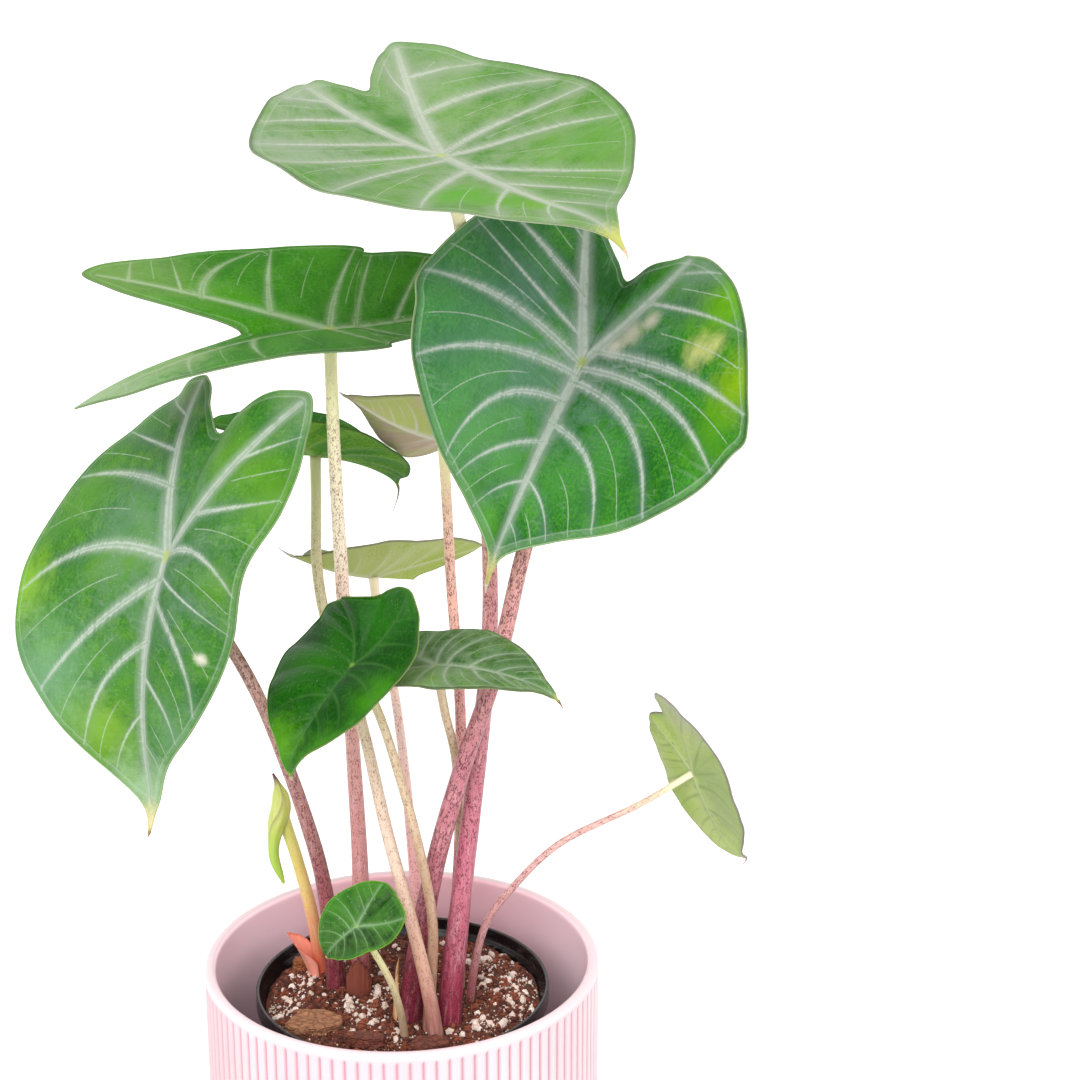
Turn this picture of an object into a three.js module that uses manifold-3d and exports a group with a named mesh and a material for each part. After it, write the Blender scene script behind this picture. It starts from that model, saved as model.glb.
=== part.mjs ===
// A potted alocasia: eleven heart-shaped blades on their stalks and one young leaf still rolled, growing
// in potting mix in a black nursery pot, which stands inside a fluted, pale pink ceramic cover pot.
// Millimetres and degrees, +Z up. The origin is the centre of the cover pot's underside. A blade's own
// frame has u along the midrib to the tip, v to the leaf's left and its upper face along +n.

import * as THREE from "three";
import { mergeVertices } from "three/addons/utils/BufferGeometryUtils.js";
import Module from "manifold-3d";

const wasm = await Module();
wasm.setup();

const MERGE = 1e-3; // points closer than this are one point
const GAP = 0.3; // clearance between pieces that touch
const CUT_GAP = 0.35; // clearance round a stalk in its hole and under its blade, at the facets' corners
const COVER_POT = {
  radius: 70, height: 125, wall: 4, floor: 6, floorRound: 3, foot: 4, footInset: 2, lip: 3.5, lipRound: 1.6,
  flutes: 100, fluteDepth: 0.8, sides: 72,
};
const NURSERY_POT = {
  rimRadius: 52.3, rimHeight: 6, rimStep: 1.6, shoulder: 1, wall: 1.3, top: 114, bottomRadius: 43, sides: 36,
};
const SOIL = {
  top: 108, sides: 36, rings: 5, roughness: 0.9, waves: [6, 5], edgeDrop: 0.4, clearance: 0.4, holeDepth: 13,
  bareMiddle: 0.35, bareEdge: 3.2,
};
const PERLITE = { count: 26, smallest: 1.2, largest: 3.1, sunk: 0.3 };
const CRUMBS = { count: 8, smallest: 1.6, largest: 3.6, sunk: 0.35 };
const BIG_BLADE = { thickness: 0.9, levels: 4 };
const SMALL_BLADE = { thickness: 0.8, levels: 2 };
const STALK = { sides: 8, stepLength: 16 };

// Each blade: where its stalk joins it, how it is turned, the lengths of its tip part and its two lobes
// (left, right), the half widths, how far the lobes splay, the notch, and how it folds, curls, arches and
// twists.
const BLADES = {
  top: {
    big: true, joint: [18, -11, 410], heading: -60, pitch: 8, roll: 10, length: 112, lobe: [76, 62],
    halfWidth: [57, 64], splay: [16, 20], notch: 52, widest: 0, fold: [-8, 8], curl: [40, 12], arch: -10,
    hook: 44, back: -26, twist: 4, drop: [0, 0], drip: 0.1, quilt: 1.0,
  },
  right: {
    big: true, joint: [63, 0, 341], heading: -135, pitch: 51, roll: -27, length: 82, lobe: [46, 49],
    halfWidth: [74, 68], splay: [30, 32], notch: 33, widest: 0.1, fold: [18, 42], curl: [16, 10],
    arch: 20, hook: 36, back: 32, twist: -16, drop: [-8, 0], drip: 0.16, quilt: 1.0,
  },
  left_big: {
    big: true, joint: [-71, -31, 284], heading: -140, pitch: 66, roll: -1, length: 96, lobe: [75, 65],
    halfWidth: [36, 63], splay: [32, 23], notch: 43, widest: -0.06, fold: [19, 20], curl: [-63, -28],
    arch: 39, hook: -31, back: 6, twist: -40, drop: [12, 2], drip: 0.13, quilt: 1.0,
  },
  left_flat: {
    big: true, joint: [-21, 14, 349], heading: 9, pitch: 0, roll: -6, length: 87, lobe: [77, 91],
    halfWidth: [46, 32], splay: [28, 21], notch: 29, widest: 0.2, fold: [29, 0], curl: [0, -9], arch: -29,
    hook: 10, back: 31, twist: 5, drop: [-27, -4], drip: 0.1, quilt: 0.8,
  },
  centre: {
    joint: [-12, -35, 248], heading: -136, pitch: 34, roll: 6, length: 43, lobe: [34, 25],
    halfWidth: [23, 32], splay: [29, 29], notch: 25, widest: 0, fold: [-3, 17], curl: [-2, -28], arch: 21,
    hook: 51, back: -60, twist: -4, drop: [0, -6], drip: 0.06, quilt: 0.5,
  },
  behind_centre: {
    joint: [15, -27, 245], heading: -23, pitch: -7, roll: 3, length: 45, lobe: [29, 24],
    halfWidth: [25, 22], splay: [28, 26], notch: 15, widest: 0.06, fold: [12, 4], curl: [-9, -2],
    arch: 26, hook: 27, back: 4, twist: -2, drop: [0, 0], drip: 0.06, quilt: 0.5,
  },
  arched: {
    joint: [-30, 42, 298], heading: 50, pitch: 14, roll: 20, length: 52, lobe: [40, 42],
    halfWidth: [22, 31], splay: [30, 31], notch: 22, widest: 0.07, fold: [27, 39], curl: [-20, -3],
    arch: 22, hook: 17, back: 0, twist: 28, drop: [0, 0], drip: 0.09, quilt: 0.5,
  },
  far_pale: {
    joint: [16, 20, 309], heading: 200, pitch: -16, roll: 43, length: 38, lobe: [24, 14],
    halfWidth: [21, 25], splay: [27, 27], notch: 11, widest: 0.11, fold: [21, 31], curl: [-27, -33],
    arch: -35, hook: 17, back: 5, twist: 3, drop: [0, -4], drip: 0.06, quilt: 0.4,
  },
  far_low: {
    joint: [-11, 48, 251], heading: 228, pitch: -16, roll: 10, length: 42, lobe: [42, 34],
    halfWidth: [25, 22], splay: [32, 31], notch: 21, widest: 0.07, fold: [36, 30], curl: [-7, -13],
    arch: -17, hook: 5, back: 5, twist: 0, drop: [-4, 0], drip: 0.1, quilt: 0.4,
  },
  side: {
    joint: [101.5, -11, 199.8], heading: 7, pitch: 71, roll: -33, length: 42, lobe: [25, 41],
    halfWidth: [19, 22], splay: [21, 15], notch: 26, widest: 0.04, fold: [-9, -4], curl: [32, -10],
    arch: -20, hook: -38, back: 6, twist: -3, drop: [2, 7], drip: 0.04, quilt: 0.4,
  },
  low_round: {
    joint: [-12, -45, 159], heading: -177, pitch: 36, roll: -52, length: 21, lobe: [19, 17],
    halfWidth: [9, 13], splay: [30, 28], notch: 17, widest: 0.08, fold: [2, 8], curl: [-20, -18],
    arch: 55, hook: 22, back: 12, twist: -12, drop: [-9, 0], drip: 0.04, quilt: 0.3,
  },
};

// The margin's control points: [share of the shoulder's length, share of the half width] from the drip
// tip down to the widest place, and [share of the way, bulge outward] along the lobe's two sides.
const DRIP_TIP = { middle: 0.014, shoulder: 0.04 };
const TIP_MARGIN = [[0.86, 0.22], [0.66, 0.55], [0.42, 0.83], [0.22, 0.955]];
const LOBE_OUTSIDE = [[0.36, 0.1], [0.74, 0.1]];
const LOBE_INSIDE = [[0.22, -0.08], [0.68, -0.06]];
const HOOK_START = 0.72; // share of the tip part's length where it begins to hook down
const MARGIN_LIFT = 0.4; // a crest's height at the margin, as a share of its height in the middle

// The side veins of half a blade, from the tip to the notch: where each leaves the midrib (a share of the
// length) or the lobe's own rib (a share of the lobe), where it meets the margin, and how much it bows.
const VEINS = [
  { rib: 0.86, margin: 0, bow: 0 },
  { rib: 0.72, margin: 2.9, bow: 0.08 },
  { rib: 0.56, margin: 3.8, bow: 0.1 },
  { rib: 0.4, margin: 4.7, bow: 0.1 },
  { rib: 0.24, margin: 5.7, bow: 0.1 },
  { rib: 0.1, margin: 6.8, bow: 0.1 },
  { rib: 0, margin: 7.9, bow: 0.08 },
  { lobe: 0.28, margin: 8.7, bow: 0 },
  { lobe: 0.52, margin: 9.3, bow: -0.06 },
  { lobe: 0.85, margin: 10, bow: 0 },
  { lobe: 0.52, margin: 11, bow: 0.06 },
  { lobe: 0.28, margin: 11.9, bow: 0.04 },
  { rib: 0, margin: 13, bow: 0 },
];

// Each stalk: the points that it passes from under its blade down to the mix, where it enters the mix,
// and its radius there and at the blade.
const STALKS = {
  top: {
    via: [[24, -7, 385], [30, -2, 320], [32, 2, 250], [28, -1, 205], [21, -12, 148]],
    foot: [17, -17], radius: [4.6, 2.1],
  },
  right: {
    via: [[54, -3, 312], [44, -6, 279], [34, -8, 236], [22, -11, 200], [11, -12, 158]],
    foot: [3, -13], radius: [4.6, 2.4],
  },
  left_flat: {
    via: [[-20, 7, 311], [-19, 13, 258], [-17, 12, 204], [-15, 8, 150]], foot: [-16, 5], radius: [3.6, 2.1],
  },
  left_big: {
    via: [[-62, -27, 268], [-48, -21, 236], [-40, -13, 202], [-30, -5, 165], [-25, 3, 132]],
    foot: [-25, 9], radius: [3.7, 2.7],
  },
  arched: {
    via: [
      [-29, 30, 283], [-28, 17, 265], [-24, 6, 248], [-17, 0, 232], [-11, -4, 210], [-4, -12, 180],
      [5, -22, 148], [10, -26, 127],
    ],
    foot: [13, -28], radius: [2.8, 1.8],
  },
  centre: {
    via: [[-5, -31, 232], [3, -26, 201], [9, -22, 171], [12, -20, 146]], foot: [10, -21], radius: [2.2, 1.5],
  },
  behind_centre: {
    via: [[17, -17, 225], [20, -2, 200], [21, 5, 150]], foot: [20, 9], radius: [2.0, 1.5],
  },
  far_pale: {
    via: [[17, 20, 288], [18, 19, 262], [21, 18, 208], [20, 16, 155]], foot: [17, 17], radius: [2.5, 1.8],
  },
  far_low: {
    via: [[-9, 46, 243], [-2, 38, 210], [3, 27, 168]], foot: [6, 13], radius: [2.3, 1.5],
  },
  side: {
    via: [[84, -10, 188], [56, -8, 172], [41, -6, 156], [30, -4, 139]], foot: [24, -2], radius: [1.7, 1.1],
  },
  low_round: { via: [[-7, -41, 148], [-1, -34, 130]], foot: [2, -27], radius: [1.7, 1.1] },
  young: { via: [[-37, 7, 158], [-33, 11, 135]], foot: [-31, 17], radius: [2.6, 2.1] },
};
const YOUNG_LEAF = {
  joint: [-40, 3, 176],
  path: [[-46, 2, 189], [-43, 2, 184], [-43, 2, 176], [-46, 1, 164], [-46, 0, 152], [-41, -1, 145]],
  radii: [0.6, 2.6, 3.6, 2.4, 1.9, 0.7],
  steps: 12,
};

// Each sheath: the stalk whose foot it wraps, the direction its middle faces, how far round it goes, its
// height above the mix and how far it flares.
const SHEATHS = {
  salmon_sheath: { stalk: "young", facing: 180, arc: 170, height: 19, flare: 7, color: 0xe0705c },
  dry_sheath: { stalk: "left_flat", facing: 265, arc: 150, height: 15, flare: 1.2, color: 0x9a5a3c },
  thin_sheath: { stalk: "right", facing: 185, arc: 70, height: 22, flare: 1.0, color: 0xc79a6a },
};
const SHEATH = { thickness: 0.8, depth: 5, across: 6, up: 4, sideDrop: 0.65, clearance: 0.4 };

// Each bark chunk: its middle, its length, width and thickness, and how it is turned and tilted.
const BARK = {
  bark_large: { at: [-30, -21, 109.5], size: [21, 14, 3.2], turn: 8, tilt: 6, color: 0x8a6248 },
  bark_red: { at: [-11, -32, 109], size: [15, 9, 4], turn: -12, tilt: -8, color: 0x6b3526 },
  bark_front: { at: [11, -36, 109], size: [15, 8, 4], turn: 14, tilt: 7, color: 0x5f3324 },
  bark_back: { at: [-38, 22, 109.5], size: [9, 7, 4.5], turn: 30, tilt: -10, color: 0xa2602f },
};
const CHUNK = {
  corners: [
    [-0.5, -0.1], [-0.32, -0.42], [0.1, -0.5], [0.44, -0.28], [0.5, 0.12], [0.22, 0.46], [-0.22, 0.5],
  ],
  bevel: 0.7, clearance: 0.45,
};

const MATERIALS = {
  ceramic: { color: 0xf3d3da, roughness: 0.45 },
  blackPlastic: { color: 0x17171a, roughness: 0.35 },
  soil: { color: 0x4a2b22, roughness: 0.95 },
  bark: { roughness: 0.9 },
  leafGreen: { color: 0x5c9a5c, roughness: 0.5 },
  stalk: { color: 0xb77a7e, roughness: 0.55 },
  youngLeaf: { color: 0xb6d04a, roughness: 0.5 },
  sheath: { roughness: 0.7 },
};

const rad = THREE.MathUtils.degToRad;
const lerp = THREE.MathUtils.lerp;

// Repeatable random numbers from 0 to 1.
function randomFrom(seed) {
  let state = seed;
  return () => {
    state = (Math.imul(state, 1664525) + 1013904223) >>> 0;
    return state / 2 ** 32;
  };
}

function solidFrom(geometry) {
  const bare = geometry.index ? geometry.toNonIndexed() : geometry.clone();
  bare.deleteAttribute("normal");
  bare.deleteAttribute("uv");
  const merged = mergeVertices(bare, MERGE);
  return new wasm.Manifold(
    new wasm.Mesh({
      numProp: 3,
      vertProperties: merged.attributes.position.array,
      triVerts: new Uint32Array(merged.index.array),
    }),
  );
}

function geometryFrom(solid) {
  const mesh = solid.getMesh();
  const geometry = new THREE.BufferGeometry();
  geometry.setAttribute("position", new THREE.BufferAttribute(mesh.vertProperties, 3));
  geometry.setIndex(new THREE.BufferAttribute(mesh.triVerts, 1));
  return geometry;
}

function largestPiece(solid) {
  return solid.decompose().sort((a, b) => b.volume() - a.volume())[0];
}

// A profile of [radius, height] points, from the axis round the outside and back to the axis, turned
// about Z.
function turned(profile, sides) {
  const points = profile.map(([radius, height]) => new THREE.Vector2(radius, height));
  return new THREE.LatheGeometry(points, sides).rotateX(Math.PI / 2);
}

// Points on an arc of a profile, about a centre, from one angle to another.
function arc([x, y], radius, from, to, steps) {
  return Array.from({ length: steps + 1 }, (_, i) => {
    const angle = rad(lerp(from, to, i / steps));
    return [x + radius * Math.cos(angle), y + radius * Math.sin(angle)];
  });
}

function closedSurface(points, triangles) {
  const geometry = new THREE.BufferGeometry();
  geometry.setAttribute("position", new THREE.Float32BufferAttribute(points.flatMap((p) => p.toArray()), 3));
  geometry.setIndex(triangles);
  return geometry;
}

// A smooth tube with a changing radius: rings of points round the curve, closed by a fan at each end.
function tube(curve, radiusAt, sides, steps) {
  const frames = curve.computeFrenetFrames(steps, false);
  const points = [];
  const triangles = [];
  for (let i = 0; i <= steps; i++) {
    const centre = curve.getPointAt(i / steps);
    const radius = radiusAt(i / steps);
    for (let j = 0; j < sides; j++) {
      const angle = (2 * Math.PI * j) / sides;
      const across = frames.normals[i].clone().multiplyScalar(radius * Math.cos(angle));
      points.push(centre.clone().add(across).addScaledVector(frames.binormals[i], radius * Math.sin(angle)));
    }
  }
  for (let i = 0; i < steps; i++) {
    for (let j = 0; j < sides; j++) {
      const a = i * sides + j;
      const b = i * sides + ((j + 1) % sides);
      triangles.push(a, b, b + sides, a, b + sides, a + sides);
    }
  }
  const first = points.push(curve.getPointAt(0)) - 1;
  const last = points.push(curve.getPointAt(1)) - 1;
  for (let j = 0; j < sides; j++) {
    const next = (j + 1) % sides;
    triangles.push(first, next, j, last, steps * sides + j, steps * sides + next);
  }
  return closedSurface(points, triangles);
}

// An open sheet of points and triangles made a closed solid: the same triangles on both faces and a rim
// between.
function thickened(points, triangles, thickness) {
  const normals = points.map(() => new THREE.Vector3());
  const edges = new Set();
  for (let i = 0; i < triangles.length; i += 3) {
    const corners = [triangles[i], triangles[i + 1], triangles[i + 2]];
    const [a, b, c] = corners.map((k) => points[k]);
    const normal = b.clone().sub(a).cross(c.clone().sub(a));
    corners.forEach((k, side) => {
      normals[k].add(normal);
      edges.add(k + "," + corners[(side + 1) % 3]);
    });
  }
  const offset = (reach) => points.map((p, k) => p.clone().addScaledVector(normals[k].normalize(), reach));
  const count = points.length;
  const faces = [...triangles];
  for (let i = 0; i < triangles.length; i += 3) {
    faces.push(triangles[i] + count, triangles[i + 2] + count, triangles[i + 1] + count);
  }
  for (const edge of edges) {
    const [a, b] = edge.split(",").map(Number);
    if (!edges.has(b + "," + a)) faces.push(b, a, a + count, b, a + count, b + count);
  }
  return closedSurface([...offset(thickness / 2), ...offset(-thickness / 2)], faces);
}

// A centripetal Catmull-Rom piece from the second to the third of four points.
function centripetal(four, share) {
  const gaps = [0, 1, 2].map((k) => Math.sqrt(Math.max(four[k].distanceTo(four[k + 1]), MERGE)));
  const slope = (k) => {
    const difference = (a, b, gap) => four[b].clone().sub(four[a]).divideScalar(gap);
    return difference(k - 1, k, gaps[k - 1])
      .sub(difference(k - 1, k + 1, gaps[k - 1] + gaps[k]))
      .add(difference(k, k + 1, gaps[k]))
      .multiplyScalar(gaps[1]);
  };
  const t = share;
  return new THREE.Vector3()
    .addScaledVector(four[1], 2 * t ** 3 - 3 * t ** 2 + 1)
    .addScaledVector(slope(1), t ** 3 - 2 * t ** 2 + t)
    .addScaledVector(four[2], -2 * t ** 3 + 3 * t ** 2)
    .addScaledVector(slope(2), t ** 3 - t ** 2);
}

// The margin of half a blade as a smooth curve through its control points, from the tip (0) past the
// widest place (7) and the lobe's tip (10) to the bottom of the notch (13). Both halves are worked out
// with v positive.
function halfMargin(blade, side) {
  const { length, notch, widest } = blade;
  const shoulder = length * (1 - blade.drip);
  const width = blade.halfWidth[side];
  const splay = rad(blade.splay[side]);
  const at = (u, v) => new THREE.Vector3(u, v, 0);
  const widestPoint = at(widest * length, width);
  const lobeTip = at(-blade.lobe[side] * Math.cos(splay), blade.lobe[side] * Math.sin(splay));
  const notchPoint = at(-notch, 0);
  const bulged = (from, to, outward, [share, bulge]) =>
    from.clone().lerp(to, share).addScaledVector(at(outward.y, outward.x), bulge);
  const points = [
    at(length, 0),
    at((length + shoulder) / 2, DRIP_TIP.middle * length),
    at(shoulder, DRIP_TIP.shoulder * length),
    ...TIP_MARGIN.map(([u, v]) => at(u * shoulder, v * width)),
    widestPoint,
    ...LOBE_OUTSIDE.map((place) =>
      bulged(widestPoint, lobeTip, at(widestPoint.x - lobeTip.x, lobeTip.y - widestPoint.y), place),
    ),
    lobeTip,
    ...LOBE_INSIDE.map((place) =>
      bulged(lobeTip, notchPoint, at(notchPoint.x - lobeTip.x, lobeTip.y - notchPoint.y), place),
    ),
    notchPoint,
  ];
  const last = points.length - 1;
  const before = points[1].clone().setY(-points[1].y);
  const after = points[last - 1].clone().setY(-points[last - 1].y);
  return (place) => {
    const i = Math.min(Math.floor(place), last - 1);
    const four = [points[i - 1] ?? before, points[i], points[i + 1], points[i + 2] ?? after];
    return centripetal(four, place - i);
  };
}

// Spokes over half a blade: each vein, and a crest midway between each pair of veins.
function spokes(blade, side) {
  const margin = halfMargin(blade, side);
  const splay = rad(blade.splay[side]);
  const start = (vein) =>
    vein.lobe
      ? new THREE.Vector3(-Math.cos(splay), Math.sin(splay), 0).multiplyScalar(vein.lobe * blade.lobe[side])
      : new THREE.Vector3(vein.rib * blade.length, 0, 0);
  const list = [];
  VEINS.forEach((vein, i) => {
    if (i) {
      const last = VEINS[i - 1];
      list.push({
        from: start(last).add(start(vein)).multiplyScalar(0.5),
        to: margin((last.margin + vein.margin) / 2),
        bow: (last.bow + vein.bow) / 2,
        crest: true,
      });
    }
    list.push({ from: start(vein), to: margin(vein.margin), bow: vein.bow, crest: false });
  });
  return list;
}

// The blade's centreline from behind the notch to the tip: it leans by arch and hook towards the tip and
// by back towards the lobes.
function centreline(blade) {
  const lobe = (blade.lobe[0] + blade.lobe[1]) / 2;
  const steps = 60;
  const lean = (u) => {
    const share = u / blade.length;
    const hooked = Math.max(0, share - HOOK_START) / (1 - HOOK_START);
    return u >= 0 ? rad(blade.arch) * share + rad(blade.hook) * hooked ** 2 : (rad(blade.back) * u) / lobe;
  };
  return (u) => {
    let x = 0;
    let z = 0;
    const step = u / steps;
    for (let i = 0; i < steps; i++) {
      const middle = lean((i + 0.5) * step);
      x += Math.cos(middle) * step;
      z -= Math.sin(middle) * step;
    }
    return { x, z, lean: lean(u) };
  };
}

// A flat blade point (u, v) with its lift, folded and curled across, leaned along its centreline, and
// placed.
function placer(blade) {
  const line = centreline(blade);
  const [h, q, r] = [blade.heading, blade.pitch, blade.roll].map(rad);
  const along = new THREE.Vector3(Math.cos(h) * Math.cos(q), Math.sin(h) * Math.cos(q), -Math.sin(q));
  const level = new THREE.Vector3(-Math.sin(h), Math.cos(h), 0);
  const up = new THREE.Vector3(Math.sin(q) * Math.cos(h), Math.sin(q) * Math.sin(h), Math.cos(q));
  const left = level.clone().multiplyScalar(Math.cos(r)).addScaledVector(up, Math.sin(r));
  const normal = up.clone().multiplyScalar(Math.cos(r)).addScaledVector(level, -Math.sin(r));
  return (u, v, lift) => {
    const side = v >= 0 ? 0 : 1;
    const width = blade.halfWidth[side];
    const fold = rad(blade.fold[side]);
    const curl = rad(blade.curl[side]) || MERGE;
    const turn = fold + (curl * Math.abs(v)) / width;
    const out = (width / curl) * (Math.sin(turn) - Math.sin(fold)) - lift * Math.sin(turn);
    const rise =
      (width / curl) * (Math.cos(fold) - Math.cos(turn)) +
      lift * Math.cos(turn) -
      blade.drop[side] * (Math.max(0, -u) / blade.lobe[side]) ** 2;
    const twist = rad(blade.twist) * (u / blade.length);
    const across = side ? -out : out;
    const y = across * Math.cos(twist) - rise * Math.sin(twist);
    const z = across * Math.sin(twist) + rise * Math.cos(twist);
    const place = line(u);
    return new THREE.Vector3(...blade.joint)
      .addScaledVector(along, place.x + z * Math.sin(place.lean))
      .addScaledVector(left, y)
      .addScaledVector(normal, place.z + z * Math.cos(place.lean));
  };
}

// A blade as a sheet between its ribs and its margin, raised a little between the side veins.
function bladeGeometry(blade, clearance = 0) {
  const { thickness, levels } = blade.big ? BIG_BLADE : SMALL_BLADE;
  const place = placer(blade);
  const keySteps = 100;
  const points = [];
  const triangles = [];
  const known = new Map();
  const pointOf = (spoke, level, side) => {
    const t = level / levels;
    const reach = spoke.to.clone().sub(spoke.from);
    const bowed = new THREE.Vector3(-reach.y, reach.x, 0).multiplyScalar(2 * spoke.bow * t * (1 - t));
    const flat = spoke.from.clone().addScaledVector(reach, t).add(bowed);
    const v = Math.round(flat.y * keySteps) && (side ? -flat.y : flat.y);
    const key = Math.round(flat.x * keySteps) + "," + Math.round(v * keySteps);
    if (!known.has(key)) {
      const lift = spoke.crest ? blade.quilt * (Math.sin(Math.PI * t) + MARGIN_LIFT * t ** 2) : 0;
      known.set(key, points.push(place(flat.x, v, lift)) - 1);
    }
    return known.get(key);
  };
  const face = (a, b, c, side) => {
    if (a !== b && b !== c && c !== a) triangles.push(...(side ? [a, c, b] : [a, b, c]));
  };
  for (const side of [0, 1]) {
    const list = spokes(blade, side);
    for (let k = 1; k < list.length; k++) {
      for (let level = 0; level < levels; level++) {
        const a = pointOf(list[k - 1], level, side);
        const b = pointOf(list[k - 1], level + 1, side);
        const c = pointOf(list[k], level + 1, side);
        const d = pointOf(list[k], level, side);
        face(a, b, c, side);
        face(a, c, d, side);
      }
    }
  }
  return thickened(points, triangles, thickness + 2 * clearance);
}

// A stalk's curve runs from its blade down into the mix, and stands straight in its hole.
function stalkCurve(name, deeper = 0) {
  const { via, foot } = STALKS[name];
  const joint = name === "young" ? YOUNG_LEAF.joint : BLADES[name].joint;
  const points = [joint, ...via, [...foot, SOIL.top], [...foot, SOIL.top - SOIL.holeDepth - deeper]];
  return new THREE.CatmullRomCurve3(points.map((p) => new THREE.Vector3(...p)));
}

// A stalk thickens slowly on its way down and quickly near its foot.
function stalkGeometry(name, clearance = 0) {
  const [footRadius, topRadius] = STALKS[name].radius;
  const curve = stalkCurve(name, clearance);
  const radiusAt = (share) => lerp(topRadius, footRadius, 0.45 * share + 0.55 * share ** 4) + clearance;
  return tube(curve, radiusAt, STALK.sides, Math.ceil(curve.getLength() / STALK.stepLength));
}

// A stalk ends just under what it carries.
function stalkUnder(name, carried) {
  return geometryFrom(largestPiece(solidFrom(stalkGeometry(name)).subtract(solidFrom(carried))));
}

// The young leaf is rolled on itself into a slim horn and hangs from its stalk.
function youngLeaf(clearance = 0) {
  const { path, radii, steps } = YOUNG_LEAF;
  const curve = new THREE.CatmullRomCurve3(path.map((p) => new THREE.Vector3(...p)));
  const radiusAt = (share) => {
    const place = share * (radii.length - 1);
    const i = Math.min(Math.floor(place), radii.length - 2);
    return lerp(radii[i], radii[i + 1], place - i) + clearance;
  };
  return tube(curve, radiusAt, STALK.sides, steps);
}

// A sheath follows its stalk up from the mix: it opens on one side and flares to a point on the other.
function sheathGeometry(name, clearance = 0) {
  const { stalk, facing, arc: around, height, flare } = SHEATHS[name];
  const radius = STALKS[stalk].radius[0] + 2 * GAP + SHEATH.thickness / 2;
  const halfArc = rad(around) / 2 + clearance / radius;
  const curve = stalkCurve(stalk);
  const shareStep = 0.002;
  const centreAt = (z) => {
    let share = 1;
    while (share > 0 && curve.getPoint(share).z < z) share -= shareStep;
    return curve.getPoint(share).setZ(z);
  };
  const points = [];
  const triangles = [];
  for (let i = 0; i <= SHEATH.up; i++) {
    for (let j = 0; j <= SHEATH.across; j++) {
      const across = (2 * j) / SHEATH.across - 1;
      const share = i / SHEATH.up;
      const angle = rad(facing) + across * halfArc;
      const peak = 1 - SHEATH.sideDrop * Math.abs(across) ** 1.3;
      const reach = radius + flare * share ** 1.6 * (1 - Math.abs(across));
      const z = lerp(SOIL.top - SHEATH.depth - clearance, SOIL.top + height * peak, share);
      points.push(centreAt(z).add(new THREE.Vector3(reach * Math.cos(angle), reach * Math.sin(angle), 0)));
    }
  }
  const row = SHEATH.across + 1;
  for (let i = 0; i < SHEATH.up; i++) {
    for (let j = 0; j < SHEATH.across; j++) {
      const a = i * row + j;
      triangles.push(a, a + 1, a + row + 1, a, a + row + 1, a + row);
    }
  }
  return thickened(points, triangles, SHEATH.thickness + 2 * clearance);
}

// The cover pot: a turned wall and floor with a rounded lip, and a ring of upright ridges on the wall.
function coverPot() {
  const { radius, height, wall, floor, floorRound, foot, footInset, lip, lipRound } = COVER_POT;
  const { flutes, fluteDepth, sides } = COVER_POT;
  const valley = radius - fluteDepth;
  const inside = radius - wall;
  const lipSteps = 3;
  const core = turned(
    [
      [0, 0],
      [valley - footInset, 0],
      [valley, footInset],
      [valley, height - lip],
      [radius, height - lip + fluteDepth],
      ...arc([radius - lipRound, height - lipRound], lipRound, 0, 90, lipSteps),
      ...arc([inside + lipRound, height - lipRound], lipRound, 90, 180, lipSteps),
      [inside, floor + floorRound],
      [inside - floorRound, floor],
      [0, floor],
    ],
    sides,
  );
  const outline = new THREE.Shape();
  for (let i = 0; i < 2 * flutes; i++) {
    const reach = i % 2 ? valley : radius;
    const angle = (Math.PI * i) / flutes;
    outline[i ? "lineTo" : "moveTo"](reach * Math.cos(angle), reach * Math.sin(angle));
  }
  outline.holes.push(new THREE.Path().absarc(0, 0, radius - wall / 2, 0, 2 * Math.PI, true));
  const ridges = new THREE.ExtrudeGeometry(outline, {
    depth: height - lip - foot,
    curveSegments: sides / 2,
    bevelEnabled: false,
  }).translate(0, 0, foot);
  return geometryFrom(solidFrom(core).add(solidFrom(ridges)));
}

// The nursery pot: a thin tapered cup with a straight collar for its rim.
function nurseryPot() {
  const { rimRadius, rimHeight, rimStep, shoulder, wall, top, bottomRadius, sides } = NURSERY_POT;
  const bottom = COVER_POT.floor + GAP;
  const rimBottom = top - rimHeight;
  return turned(
    [
      [0, bottom],
      [bottomRadius, bottom],
      [rimRadius - rimStep, rimBottom],
      [rimRadius, rimBottom],
      [rimRadius, top],
      [rimRadius - wall, top],
      [rimRadius - wall, rimBottom + shoulder],
      [rimRadius - rimStep - wall, rimBottom - shoulder],
      [bottomRadius - wall, bottom + wall],
      [0, bottom + wall],
    ],
    sides,
  );
}

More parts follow.
